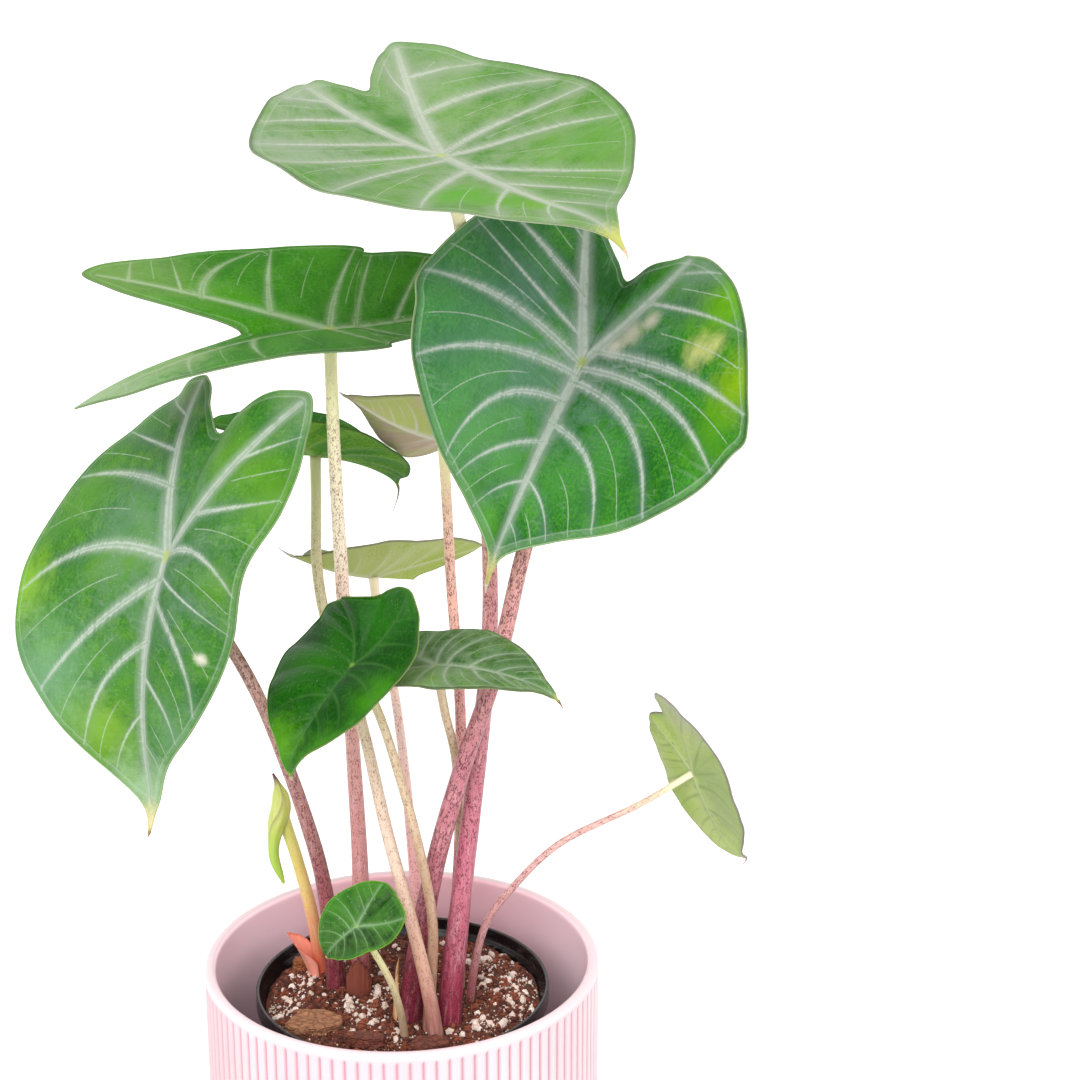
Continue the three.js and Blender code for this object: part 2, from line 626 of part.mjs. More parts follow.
// The mix fills the nursery pot to its rim's shoulder; its top is uneven.
function soilBody(random) {
  const { rimRadius, rimHeight, rimStep, shoulder, wall, top, bottomRadius } = NURSERY_POT;
  const { sides, rings, clearance } = SOIL;
  const bottom = COVER_POT.floor + 2 * GAP + wall;
  const neckRadius = rimRadius - rimStep - wall - clearance;
  const points = [];
  const triangles = [];
  const ring = (radius, height) => {
    const start = points.length;
    for (let j = 0; j < sides; j++) {
      const angle = (2 * Math.PI * j) / sides;
      const at = [radius * Math.sin(angle), -radius * Math.cos(angle)];
      points.push(new THREE.Vector3(...at, height(...at)));
    }
    return start;
  };
  const band = (low, high) => {
    for (let j = 0; j < sides; j++) {
      const next = (j + 1) % sides;
      triangles.push(low + j, low + next, high + next, low + j, high + next, high + j);
    }
  };
  const uneven = (x, y) => {
    const wave = Math.sin(x / SOIL.waves[0] + 1) * Math.cos(y / SOIL.waves[1]);
    return SOIL.top + SOIL.roughness * (wave + random() - 0.5);
  };
  const starts = [
    ring(bottomRadius - wall - clearance, () => bottom),
    ring(neckRadius, () => top - rimHeight - shoulder - GAP),
    ring(neckRadius, () => SOIL.top - SOIL.edgeDrop),
  ];
  for (let i = rings - 1; i > 0; i--) starts.push(ring((neckRadius * i) / rings, uneven));
  starts.slice(1).forEach((start, i) => band(starts[i], start));
  const base = points.push(new THREE.Vector3(0, 0, bottom)) - 1;
  const crown = points.push(new THREE.Vector3(0, 0, SOIL.top)) - 1;
  const last = starts.at(-1);
  for (let j = 0; j < sides; j++) {
    const next = (j + 1) % sides;
    triangles.push(base, next, j, crown, last + j, last + next);
  }
  return closedSurface(points, triangles);
}

// A lump of perlite or a crumb of bark, stretched and turned at random and sunk into the mix.
function lump(base, radius, sunk, x, y, random) {
  return base
    .clone()
    .scale(radius * (0.8 + 0.4 * random()), radius * (0.8 + 0.4 * random()), radius * (0.7 + 0.3 * random()))
    .rotateX(Math.PI * random())
    .rotateZ(Math.PI * random())
    .translate(x, y, SOIL.top + radius * sunk);
}

function barkGeometry({ at, size, turn, tilt }, clearance = 0) {
  const [long, wide, thick] = size.map((measure) => measure - 2 * CHUNK.bevel + 2 * clearance);
  const outline = new THREE.Shape(CHUNK.corners.map(([x, y]) => new THREE.Vector2(x * long, y * wide)));
  const bevel = { bevelThickness: CHUNK.bevel, bevelSize: CHUNK.bevel, bevelSegments: 1 };
  return new THREE.ExtrudeGeometry(outline, { depth: thick, ...bevel })
    .translate(0, 0, -thick / 2)
    .rotateX(rad(tilt))
    .rotateZ(rad(turn))
    .translate(...at);
}

// The mix with its perlite and crumbs fused on, and a plain hole for each thing that stands or lies in it.
function soil() {
  const random = randomFrom(7);
  let solid = solidFrom(soilBody(random));
  const reach = NURSERY_POT.rimRadius - NURSERY_POT.rimStep - NURSERY_POT.wall - SOIL.bareEdge - GAP;
  const white = new THREE.IcosahedronGeometry(1, 0);
  const brown = new THREE.OctahedronGeometry(1, 0);
  for (const [base, { count, smallest, largest, sunk }] of [[white, PERLITE], [brown, CRUMBS]]) {
    for (let i = 0; i < count; i++) {
      const distance = reach * Math.sqrt(lerp(SOIL.bareMiddle ** 2, 1, random()));
      const angle = 2 * Math.PI * random();
      const radius = lerp(smallest, largest, random() ** 2);
      const [x, y] = [distance * Math.cos(angle), distance * Math.sin(angle)];
      solid = solid.add(solidFrom(lump(base, radius, sunk, x, y, random)));
    }
  }
  const holes = [
    ...Object.keys(STALKS).map((name) => stalkGeometry(name, CUT_GAP)),
    ...Object.keys(SHEATHS).map((name) => sheathGeometry(name, SHEATH.clearance)),
    ...Object.values(BARK).map((bark) => barkGeometry(bark, CHUNK.clearance)),
  ];
  for (const hole of holes) solid = solid.subtract(solidFrom(hole));
  return geometryFrom(largestPiece(solid));
}

const plant = new THREE.Group();

function add(name, geometry, { color, roughness }) {
  geometry.computeVertexNormals();
  const mesh = new THREE.Mesh(geometry, new THREE.MeshStandardMaterial({ color, roughness, metalness: 0 }));
  mesh.name = name;
  plant.add(mesh);
}

add("cover_pot", coverPot(), MATERIALS.ceramic);
add("nursery_pot", nurseryPot(), MATERIALS.blackPlastic);
add("potting_soil", soil(), MATERIALS.soil);
for (const [name, bark] of Object.entries(BARK)) {
  add(name, barkGeometry(bark), { ...MATERIALS.bark, color: bark.color });
}
for (const [name, blade] of Object.entries(BLADES)) {
  add("blade_" + name, bladeGeometry(blade), MATERIALS.leafGreen);
  add("stalk_" + name, stalkUnder(name, bladeGeometry(blade, CUT_GAP)), MATERIALS.stalk);
}
add("young_leaf", youngLeaf(), MATERIALS.youngLeaf);
add("stalk_young", stalkUnder("young", youngLeaf(CUT_GAP)), MATERIALS.stalk);
for (const [name, sheath] of Object.entries(SHEATHS)) {
  add(name, sheathGeometry(name), { ...MATERIALS.sheath, color: sheath.color });
}

export default plant;
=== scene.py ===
# %% [markdown]
# # A potted alocasia
# Eleven heart-shaped blades stand on slim stalks in potting mix, in a black nursery pot inside a fluted,
# pale pink cover pot. The part's solids are loaded first and fix every place and size. Each visible piece
# is then made around them in finer detail, as a surface worked out with numpy, and stands for its solid.
# Shapes are worked out in millimetres and become metres when they go into a mesh.

# %% Load the solids
import bpy
import numpy as np
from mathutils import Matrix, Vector


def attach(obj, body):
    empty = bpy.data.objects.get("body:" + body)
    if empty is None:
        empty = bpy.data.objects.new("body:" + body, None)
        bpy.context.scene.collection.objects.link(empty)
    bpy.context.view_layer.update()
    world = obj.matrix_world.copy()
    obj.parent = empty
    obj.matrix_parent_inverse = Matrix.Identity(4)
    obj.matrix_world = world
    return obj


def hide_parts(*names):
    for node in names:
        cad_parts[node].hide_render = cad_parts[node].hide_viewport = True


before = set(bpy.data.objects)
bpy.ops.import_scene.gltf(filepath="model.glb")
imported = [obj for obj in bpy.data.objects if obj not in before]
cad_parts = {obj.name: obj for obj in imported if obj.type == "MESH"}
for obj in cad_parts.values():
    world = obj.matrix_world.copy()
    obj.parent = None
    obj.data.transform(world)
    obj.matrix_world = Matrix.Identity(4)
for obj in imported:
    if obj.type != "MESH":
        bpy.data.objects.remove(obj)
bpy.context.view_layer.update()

MM = 0.001
scene = bpy.context.scene

# %% [markdown]
# ## Camera and light
# The photograph was taken from a little above the leaves, close enough for clear perspective. A camera is
# fixed by where it stands, how far it is pitched down and its lens; all three come first, because they say
# how much detail each piece needs. The light of a white studio is a bright sky all round, one wide soft
# light in front of the plant, a little to the left, and a weaker one on the right, over a white floor. It
# reaches down into the pot. Suns with a wide disc do this better than panels: they light the far floor as
# brightly as the near one.

# %% Camera
CAMERA_PLACE = (0.0491, -0.7227, 0.505)
CAMERA_PITCH = 17.3  # degrees below level
camera = bpy.data.objects.new("camera", bpy.data.cameras.new("camera"))
scene.collection.objects.link(camera)
camera.data.lens = 75
camera.data.sensor_width = 36
camera.location = CAMERA_PLACE
camera.rotation_euler = (np.radians(90 - CAMERA_PITCH), 0, 0)
scene.camera = camera
scene.view_settings.view_transform = "Standard"

# %% Light
SUNS = {  # the way each soft sun shines, its strength and how wide it is in degrees
    "key_sun": ((0.25, 0.85, -0.75), 2.5, 45),
    "fill_sun": ((-0.7, 0.5, -0.5), 0.7, 80),
}
SKY_STRENGTH = 1.2

for name, (way, strength, wide) in SUNS.items():
    sun = bpy.data.objects.new(name, bpy.data.lights.new(name, "SUN"))
    scene.collection.objects.link(sun)
    sun.rotation_euler = Vector(way).to_track_quat("-Z", "Y").to_euler()
    sun.data.energy = strength
    sun.data.angle = np.radians(wide)

sky = bpy.data.worlds.new("white_studio")
sky.use_nodes = True
sky.node_tree.nodes["Background"].inputs["Color"].default_value = (1, 1, 1, 1)
sky.node_tree.nodes["Background"].inputs["Strength"].default_value = SKY_STRENGTH
scene.world = sky
print("suns:", len(SUNS), "sky:", SKY_STRENGTH)

# %% [markdown]
# ## Helpers for materials
# A finish is a small network of nodes that ends in one Principled shader. Writing each network link by
# link is long, so a small class adds one node per call and hands back its output. Colours are written as
# hex digits, the way they look in this bright light. Undoing sRGB and dividing by the light that falls on a
# surface facing it gives the surface's own colour.

# %% The finish class


LIGHT_LEVEL = 1.75  # on a surface that faces the light; it is lower on the stalks and inside the pot


def tone(code, level=LIGHT_LEVEL):
    """Six hex digits as linear red, green, blue and an alpha of 1: each channel undone from sRGB, over
    the light level."""
    srgb = np.array([int(code[i:i + 2], 16) for i in (0, 2, 4)]) / 255
    linear = np.where(srgb <= 0.04045, srgb / 12.92, ((srgb + 0.055) / 1.055) ** 2.4)
    return (*np.minimum(linear / level, 0.92).tolist(), 1.0)


class Finish:
    """A material in the making. Each method adds one node and returns its output socket."""

    def __init__(self, name):
        self.material = bpy.data.materials.new(name)
        self.material.use_nodes = True
        self.tree = self.material.node_tree
        self.shader = self.tree.nodes["Principled BSDF"]

    def put(self, socket, value):
        if isinstance(value, bpy.types.NodeSocket):
            self.tree.links.new(value, socket)
        else:
            socket.default_value = value

    def add(self, kind, inputs, output=0, **settings):
        node = self.tree.nodes.new("ShaderNode" + kind)
        for key, value in settings.items():
            setattr(node, key, value)
        for key, value in inputs.items():
            self.put(node.inputs[key], value)
        return node.outputs[output]

    def place(self):
        """The piece's own place in metres."""
        return self.add("TexCoord", {}, "Object")

    def value(self, name):
        return self.add("Attribute", {}, "Fac", attribute_name=name)

    def vector(self, name):
        return self.add("Attribute", {}, "Vector", attribute_name=name)

    def split(self, vector):
        node = self.add("SeparateXYZ", {0: vector}).node
        return node.outputs[0], node.outputs[1], node.outputs[2]

    def math(self, operation, *values):
        return self.add("Math", dict(enumerate(values)), operation=operation)

    def times(self, first, second):
        return self.math("MULTIPLY", first, second)

    def plus(self, first, second):
        return self.math("ADD", first, second)

    def minus(self, first, second):
        return self.math("SUBTRACT", first, second)

    def over(self, first, second):
        return self.math("DIVIDE", first, second)

    def larger(self, first, second):
        return self.math("MAXIMUM", first, second)

    def smaller(self, first, second):
        return self.math("MINIMUM", first, second)

    def absolute(self, value):
        return self.math("ABSOLUTE", value)

    def scaled(self, vector, scale):
        return self.add("Mapping", {"Vector": vector, "Scale": scale})

    def fade(self, value, start, end):
        """A smooth step: 0 where the value is at start or before it, 1 at end or past it."""
        inputs = {"Value": value, "From Min": start, "From Max": end}
        return self.add("MapRange", inputs, interpolation_type="SMOOTHSTEP")

    def between(self, value, low, high):
        """A value from 0 to 1 as one from low to high."""
        return self.add("MapRange", {"Value": value, "To Min": low, "To Max": high})

    def mix(self, factor, first, second):
        return self.add("Mix", {0: factor, 6: first, 7: second}, 2, data_type="RGBA")

    def laid(self, color, share, strength, over_it):
        """A colour with another one laid over it, as thickly as the share times the strength."""
        return self.mix(self.times(share, strength), color, over_it)

    def noise(self, vector, scale, detail=2.0, roughness=0.5):
        inputs = {"Vector": vector, "Scale": scale, "Detail": detail, "Roughness": roughness}
        return self.add("TexNoise", inputs)

    def cells(self, vector, scale, feature="F1"):
        return self.add("TexVoronoi", {"Vector": vector, "Scale": scale}, "Distance", feature=feature)

    def away(self, vector, point):
        """The distance from a point."""
        return self.add("VectorMath", {0: vector, 1: point}, "Value", operation="DISTANCE")

    def finish(self, color, roughness, height, depth, strength, **fixed):
        """Joins colour, roughness and fine relief to the shader, and sets its fixed numbers."""
        self.put(self.shader.inputs["Base Color"], color)
        self.put(self.shader.inputs["Roughness"], roughness)
        bump = {"Height": height, "Distance": depth, "Strength": strength}
        self.put(self.shader.inputs["Normal"], self.add("Bump", bump))
        for key, value in fixed.items():
            self.shader.inputs[key.replace("_", " ")].default_value = value
        return self.material


# %% [markdown]
# ## Helpers for surfaces
# Every new piece is a grid of points: two parameters run over it, and each point's place is a formula of
# the two. The helpers below turn such grids into faces, drop the faces that a merged point makes thin,
# and hand whole arrays to Blender, which is many times faster than adding points one by one.

# %% Grids and meshes


def grid_faces(ids, closed=False):
    """The four-cornered faces of a grid of point numbers; closed joins its last row to its first."""
    if closed:
        ids = np.vstack([ids, ids[:1]])
    corners = [ids[:-1, :-1], ids[1:, :-1], ids[1:, 1:], ids[:-1, 1:]]
    return np.stack([c.ravel() for c in corners], axis=1)


def closed_tube(points, ends):
    """The points of a tube of rings, with one more for each end, and its faces: a band of quads round it
    and a fan of triangles at each end."""
    steps, sides = points.shape[:2]
    ids = np.arange(steps * sides).reshape(steps, sides)
    around = np.roll(ids, -1, axis=1)
    caps = steps * sides + np.arange(2)
    fans = np.vstack([
        np.stack([np.full(sides, caps[0]), around[0], ids[0]], axis=1),
        np.stack([np.full(sides, caps[1]), ids[-1], around[-1]], axis=1)])
    return np.vstack([points.reshape(-1, 3), ends]), (grid_faces(ids.T, closed=True), fans)


def without_slivers(quads):
    """Splits quads into true quads and triangles, where two neighbouring corners are the same point."""
    same = quads == np.roll(quads, -1, axis=1)
    crossed = (quads[:, 0] == quads[:, 2]) | (quads[:, 1] == quads[:, 3])
    count = same.sum(axis=1)
    thin = quads[(count == 1) & ~crossed]
    kept = ~same[(count == 1) & ~crossed]
    return quads[(count == 0) & ~crossed], thin[kept].reshape(-1, 3)


def piece(name, points, faces, material, stands_for, values=None, smooth=True):
    """Makes a visible piece from arrays of points in millimetres and faces, and hides the solids it stands
    for.
    """
    quads, triangles = faces
    mesh = bpy.data.meshes.new(name)
    mesh.vertices.add(len(points))
    mesh.vertices.foreach_set("co", (points * MM).astype(np.float32).ravel())
    corners = np.concatenate([quads.ravel(), triangles.ravel()]).astype(np.int32)
    mesh.loops.add(len(corners))
    mesh.loops.foreach_set("vertex_index", corners)
    starts = [np.arange(len(quads)) * 4, len(quads) * 4 + np.arange(len(triangles)) * 3]
    mesh.polygons.add(len(quads) + len(triangles))
    mesh.polygons.foreach_set("loop_start", np.concatenate(starts).astype(np.int32))
    mesh.polygons.foreach_set("use_smooth", np.full(len(mesh.polygons), smooth))
    for key, array in (values or {}).items():
        array = np.asarray(array, dtype=np.float32)
        kind = "FLOAT" if array.ndim == 1 else "FLOAT_VECTOR"
        data = mesh.attributes.new(key, kind, "POINT").data
        data.foreach_set("value" if array.ndim == 1 else "vector", array.ravel())
    mesh.update(calc_edges=True)
    mesh.validate()
    mesh.materials.append(material)
    made = bpy.data.objects.new(name, mesh)
    scene.collection.objects.link(made)
    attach(made, "root")
    if stands_for:
        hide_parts(*stands_for)
    print(f"{name}: {len(quads) * 2 + len(triangles)} triangles")
    return made


def unit(vectors):
    """Vectors made one long."""
    return vectors / np.maximum(np.linalg.norm(vectors, axis=-1, keepdims=True), 1e-9)


def smooth_step(values):
    values = np.clip(values, 0, 1)
    return values * values * (3 - 2 * values)


def round_angles(sides):
    """Equal steps round a circle, in radians."""
    return 2 * np.pi * np.arange(sides) / sides


def circles(path, radius, first, second, sides):
    """A ring of points round each point of a path: first times the cosine, plus second times the sine."""
    angle = round_angles(sides)
    spokes = first[:, None] * np.cos(angle)[:, None] + second[:, None] * np.sin(angle)[:, None]
    return path[:, None] + spokes * radius[..., None]


NO_TRIANGLES = np.zeros((0, 3), dtype=int)
rng = np.random.default_rng(20)

# %% [markdown]
# ## The blades' shape
# An alocasia blade is one sheet: a long tip part in front of the stalk, and two lobes behind it. The
# stalk joins it from below, some way in from the notch. From that joint a strong rib runs to the tip and
# one into each lobe, and side veins sweep from the ribs to the margin, each sunk between two low crests.
#
# It could be sculpted, or cut from a flat picture and bent. Here it is a fan of spokes: each side vein is
# one spoke from a rib to the margin, with more spokes between. A point is named by its spoke and by how
# far out it is, so veins, crests and margin are all grid lines, and the sheet follows them exactly. The
# flat sheet is then folded along the midrib, curled across, leaned down along its centreline, twisted
# and set on its joint. These are the same values as in the part's solids, so the two agree.

# %% Values of the blades
BLADES = {
    "top": dict(
        joint=(18, -11, 410), heading=-60, pitch=8, roll=10, length=112, lobe=(76, 62), half_width=(57, 64),
        splay=(16, 20), notch=52, widest=0, fold=(-8, 8), curl=(40, 12), arch=-10, hook=44, back=-26,
        twist=4, drop=(0, 0), drip=0.1, quilt=1.0, wave=0.9, thread=(3.5, 0.3, -0.3)),
    "right": dict(
        joint=(63, 0, 341), heading=-135, pitch=51, roll=-27, length=82, lobe=(46, 49), half_width=(74, 68),
        splay=(30, 32), notch=33, widest=0.1, fold=(18, 42), curl=(16, 10), arch=20, hook=36, back=32,
        twist=-16, drop=(-8, 0), drip=0.16, quilt=1.0, wave=0.9, thread=(3, 0.1, -0.2)),
    "left_big": dict(
        joint=(-71, -31, 284), heading=-140, pitch=66, roll=-1, length=96, lobe=(75, 65), half_width=(36, 63),
        splay=(32, 23), notch=43, widest=-0.06, fold=(19, 20), curl=(-63, -28), arch=39, hook=-31, back=6,
        twist=-40, drop=(12, 2), drip=0.13, quilt=1.0, wave=0.9, thread=(2.5, 0.2, 0.2)),
    "left_flat": dict(
        joint=(-21, 14, 349), heading=9, pitch=0, roll=-6, length=87, lobe=(77, 91), half_width=(46, 32),
        splay=(28, 21), notch=29, widest=0.2, fold=(29, 0), curl=(0, -9), arch=-29, hook=10, back=31,
        twist=5, drop=(-27, -4), drip=0.1, quilt=0.8, wave=0.5, thread=(3, 0.3, 0.2)),
    "centre": dict(
        joint=(-12, -35, 248), heading=-136, pitch=34, roll=6, length=43, lobe=(34, 25), half_width=(23, 32),
        splay=(29, 29), notch=25, widest=0, fold=(-3, 17), curl=(-2, -28), arch=21, hook=51, back=-60,
        twist=-4, drop=(0, -6), drip=0.06, quilt=0.5, wave=0.3, thread=(3, 0.3, 0.5)),
    "behind_centre": dict(
        joint=(15, -27, 245), heading=-23, pitch=-7, roll=3, length=45, lobe=(29, 24), half_width=(25, 22),
        splay=(28, 26), notch=15, widest=0.06, fold=(12, 4), curl=(-9, -2), arch=26, hook=27, back=4,
        twist=-2, drop=(0, 0), drip=0.06, quilt=0.5, wave=0.4, thread=(2.5, 0.1, -0.4)),
    "arched": dict(
        joint=(-30, 42, 298), heading=50, pitch=14, roll=20, length=52, lobe=(40, 42), half_width=(22, 31),
        splay=(30, 31), notch=22, widest=0.07, fold=(27, 39), curl=(-20, -3), arch=22, hook=17, back=0,
        twist=28, drop=(0, 0), drip=0.09, quilt=0.5, wave=0.3, thread=(8, -0.9, -0.8)),
    "far_pale": dict(
        joint=(16, 20, 309), heading=200, pitch=-16, roll=43, length=38, lobe=(24, 14), half_width=(21, 25),
        splay=(27, 27), notch=11, widest=0.11, fold=(21, 31), curl=(-27, -33), arch=-35, hook=17, back=5,
        twist=3, drop=(0, -4), drip=0.06, quilt=0.4, wave=0.3, thread=(2.5, 0.1, 0.1)),
    "far_low": dict(
        joint=(-11, 48, 251), heading=228, pitch=-16, roll=10, length=42, lobe=(42, 34), half_width=(25, 22),
        splay=(32, 31), notch=21, widest=0.07, fold=(36, 30), curl=(-7, -13), arch=-17, hook=5, back=5,
        twist=0, drop=(-4, 0), drip=0.1, quilt=0.4, wave=0.3, thread=(7, 0.1, 0.2)),
    "side": dict(
        joint=(101.5, -11, 199.8), heading=7, pitch=71, roll=-33, length=42, lobe=(25, 41),
        half_width=(19, 22), splay=(21, 15), notch=26, widest=0.04, fold=(-9, -4), curl=(32, -10), arch=-20,
        hook=-38, back=6, twist=-3, drop=(2, 7), drip=0.04, quilt=0.4, wave=0.3, thread=(5, -1.3, -0.9)),
    "low_round": dict(
        joint=(-12, -45, 159), heading=-177, pitch=36, roll=-52, length=21, lobe=(19, 17), half_width=(9, 13),
        splay=(30, 28), notch=17, widest=0.08, fold=(2, 8), curl=(-20, -18), arch=55, hook=22, back=12,
        twist=-12, drop=(-9, 0), drip=0.04, quilt=0.3, wave=0.2, thread=(1.5, 0.1, -0.3)),
}
BIG = ("top", "right", "left_big", "left_flat")
RIB_SHARE = np.array([0.86, 0.72, 0.56, 0.4, 0.24, 0.1, 0, 0, 0, 0, 0, 0, 0])
LOBE_SHARE = np.array([0, 0, 0, 0, 0, 0, 0, 0.28, 0.52, 0.85, 0.52, 0.28, 0])
MARGIN_PLACE = np.array([0, 2.9, 3.8, 4.7, 5.7, 6.8, 7.9, 8.7, 9.3, 10, 11, 11.9, 13])
VEIN_BOW = np.array([0, 0.08, 0.1, 0.1, 0.1, 0.1, 0.08, 0, -0.06, 0, 0.06, 0.04, 0])
TIP_MARGIN = np.array([[0.86, 0.22], [0.66, 0.55], [0.42, 0.83], [0.22, 0.955]])
LOBE_OUTSIDE = ((0.36, 0.1), (0.74, 0.1))
LOBE_INSIDE = ((0.22, -0.08), (0.68, -0.06))
HOOK_START = 0.72
LOBE_RIB = 0.95  # how much of a lobe its rib runs through
print("blades:", len(BLADES))

# %% The margin of half a blade


def lobe_tip(blade, side):
    """The lobe's tip on the flat sheet: straight back from the joint, turned outward by the splay."""
    splay = np.radians(blade["splay"][side])
    return blade["lobe"][side] * np.array([-np.cos(splay), np.sin(splay)])


def margin_points(blade, side):
    """Fourteen points: tip, drip tip, shoulders, widest place (7), lobe tip (10) and notch (13)."""
    length = blade["length"]
    shoulder = length * (1 - blade["drip"])
    width = blade["half_width"][side]
    widest = np.array([blade["widest"] * length, width])
    lobe = lobe_tip(blade, side)
    notch = np.array([-blade["notch"], 0.0])
    outward = np.array([lobe[1] - widest[1], widest[0] - lobe[0]])
    inward = np.array([lobe[1], notch[0] - lobe[0]])
    tip = [[length, 0], [(length + shoulder) / 2, 0.014 * length], [shoulder, 0.04 * length]]
    outside = [widest + (lobe - widest) * share + outward * bulge for share, bulge in LOBE_OUTSIDE]
    inside = [lobe + (notch - lobe) * share + inward * bulge for share, bulge in LOBE_INSIDE]
    return np.vstack([tip, TIP_MARGIN * [shoulder, width], [widest], outside, [lobe], inside, [notch]])


def smooth_path(points, place):
    """A centripetal Catmull-Rom curve: cubic pieces whose slopes come from the neighbours' spacing."""
    i = np.clip(np.floor(place).astype(int), 0, len(points) - 4)
    a, b, c, d = (points[i + k] for k in range(4))
    gaps = [np.sqrt(np.linalg.norm(q - p, axis=-1, keepdims=True)) for p, q in ((a, b), (b, c), (c, d))]
    g, h, k = (np.maximum(gap, 0.03) for gap in gaps)
    slope_b = ((b - a) / g - (c - a) / (g + h) + (c - b) / h) * h
    slope_c = ((c - b) / h - (d - b) / (h + k) + (d - c) / k) * h
    t = (place - i)[:, None]
    ends = b * (2 * t**3 - 3 * t**2 + 1) + c * (3 * t**2 - 2 * t**3)
    return ends + slope_b * (t**3 - 2 * t**2 + t) + slope_c * (t**3 - t**2)


def along_margin(points, place):
    """The margin at any place from 0 to 13; beyond the tip and the notch it goes on as its mirror image."""
    mirror = [1, -1]
    return smooth_path(np.vstack([points[1] * mirror, points, points[-2] * mirror]), place)


# %% Spokes over half a blade


def bowed(start, end, bow, t):
    """Straight from start to end, plus a bow of 2t(1 - t) times bow times the length to the side."""
    reach = end - start
    sideways = np.stack([-reach[..., 1], reach[..., 0]], axis=-1)
    return start + reach * t + sideways * 2 * bow * t * (1 - t)


def half_grid(blade, side, per_span, rows):
    """Flat points by spoke and row. A spoke's start slides along the ribs and its end along the margin,
    both straight from vein to vein, and its bow goes the same way from one vein's to the next."""
    starts = RIB_SHARE[:, None] * [blade["length"], 0] + LOBE_SHARE[:, None] * lobe_tip(blade, side)
    spread = (1 - np.cos(np.pi * np.arange(per_span) / per_span)) / 2
    column = np.append((np.arange(12)[:, None] + spread).ravel(), 12.0)
    t = (np.linspace(0, 1, rows) ** 1.4)[None, :, None]
    veins = np.arange(13)
    start = np.stack([np.interp(column, veins, starts[:, k]) for k in (0, 1)], axis=-1)
    end = along_margin(margin_points(blade, side), np.interp(column, veins, MARGIN_PLACE))
    bow = np.interp(column, veins, VEIN_BOW)[:, None, None]
    return column, t[0, :, 0], bowed(start[:, None], end[:, None], bow, t)


def cross(a, b):
    return a[..., 0] * b[..., 1] - a[..., 1] * b[..., 0]


def from_segment(points, start, end):
    """The distance of flat points from a straight line between two points."""
    line = end - start
    share = np.clip((points - start) @ line / (line @ line), 0, 1)
    return np.linalg.norm(points - start - share[..., None] * line, axis=-1)


def rib_and_edge(blade, side, flat):
    """Millimetres, in the flat sheet, from the nearest rib and from the margin."""
    lobe = LOBE_RIB * lobe_tip(blade, side)
    zero = np.zeros(2)
    midrib = from_segment(flat, zero, np.array([blade["length"], 0.0]))
    rim = flat[:, -1]
    edge = np.abs(cross(flat - rim[:, None], unit(np.gradient(rim, axis=0))[:, None]))
    return np.minimum(midrib, from_segment(flat, zero, lobe)), edge


# %% [markdown]
# ## The side veins
# The side veins of a real blade aren't evenly spaced: some of the strongest leave close to the joint, run
# out in a bow towards the lobes, and bend to the tip as they near the margin, and the two halves differ.
# So each is a curve of its own on the flat sheet, from a place on a rib to a place on the margin, and
# every point of the sheet is told how far it is from the nearest one, and on which side of it. The sign
# matters: a distance without one can't say exactly where between two points a vein runs. Between each
# two strong veins runs a thin one, halfway.

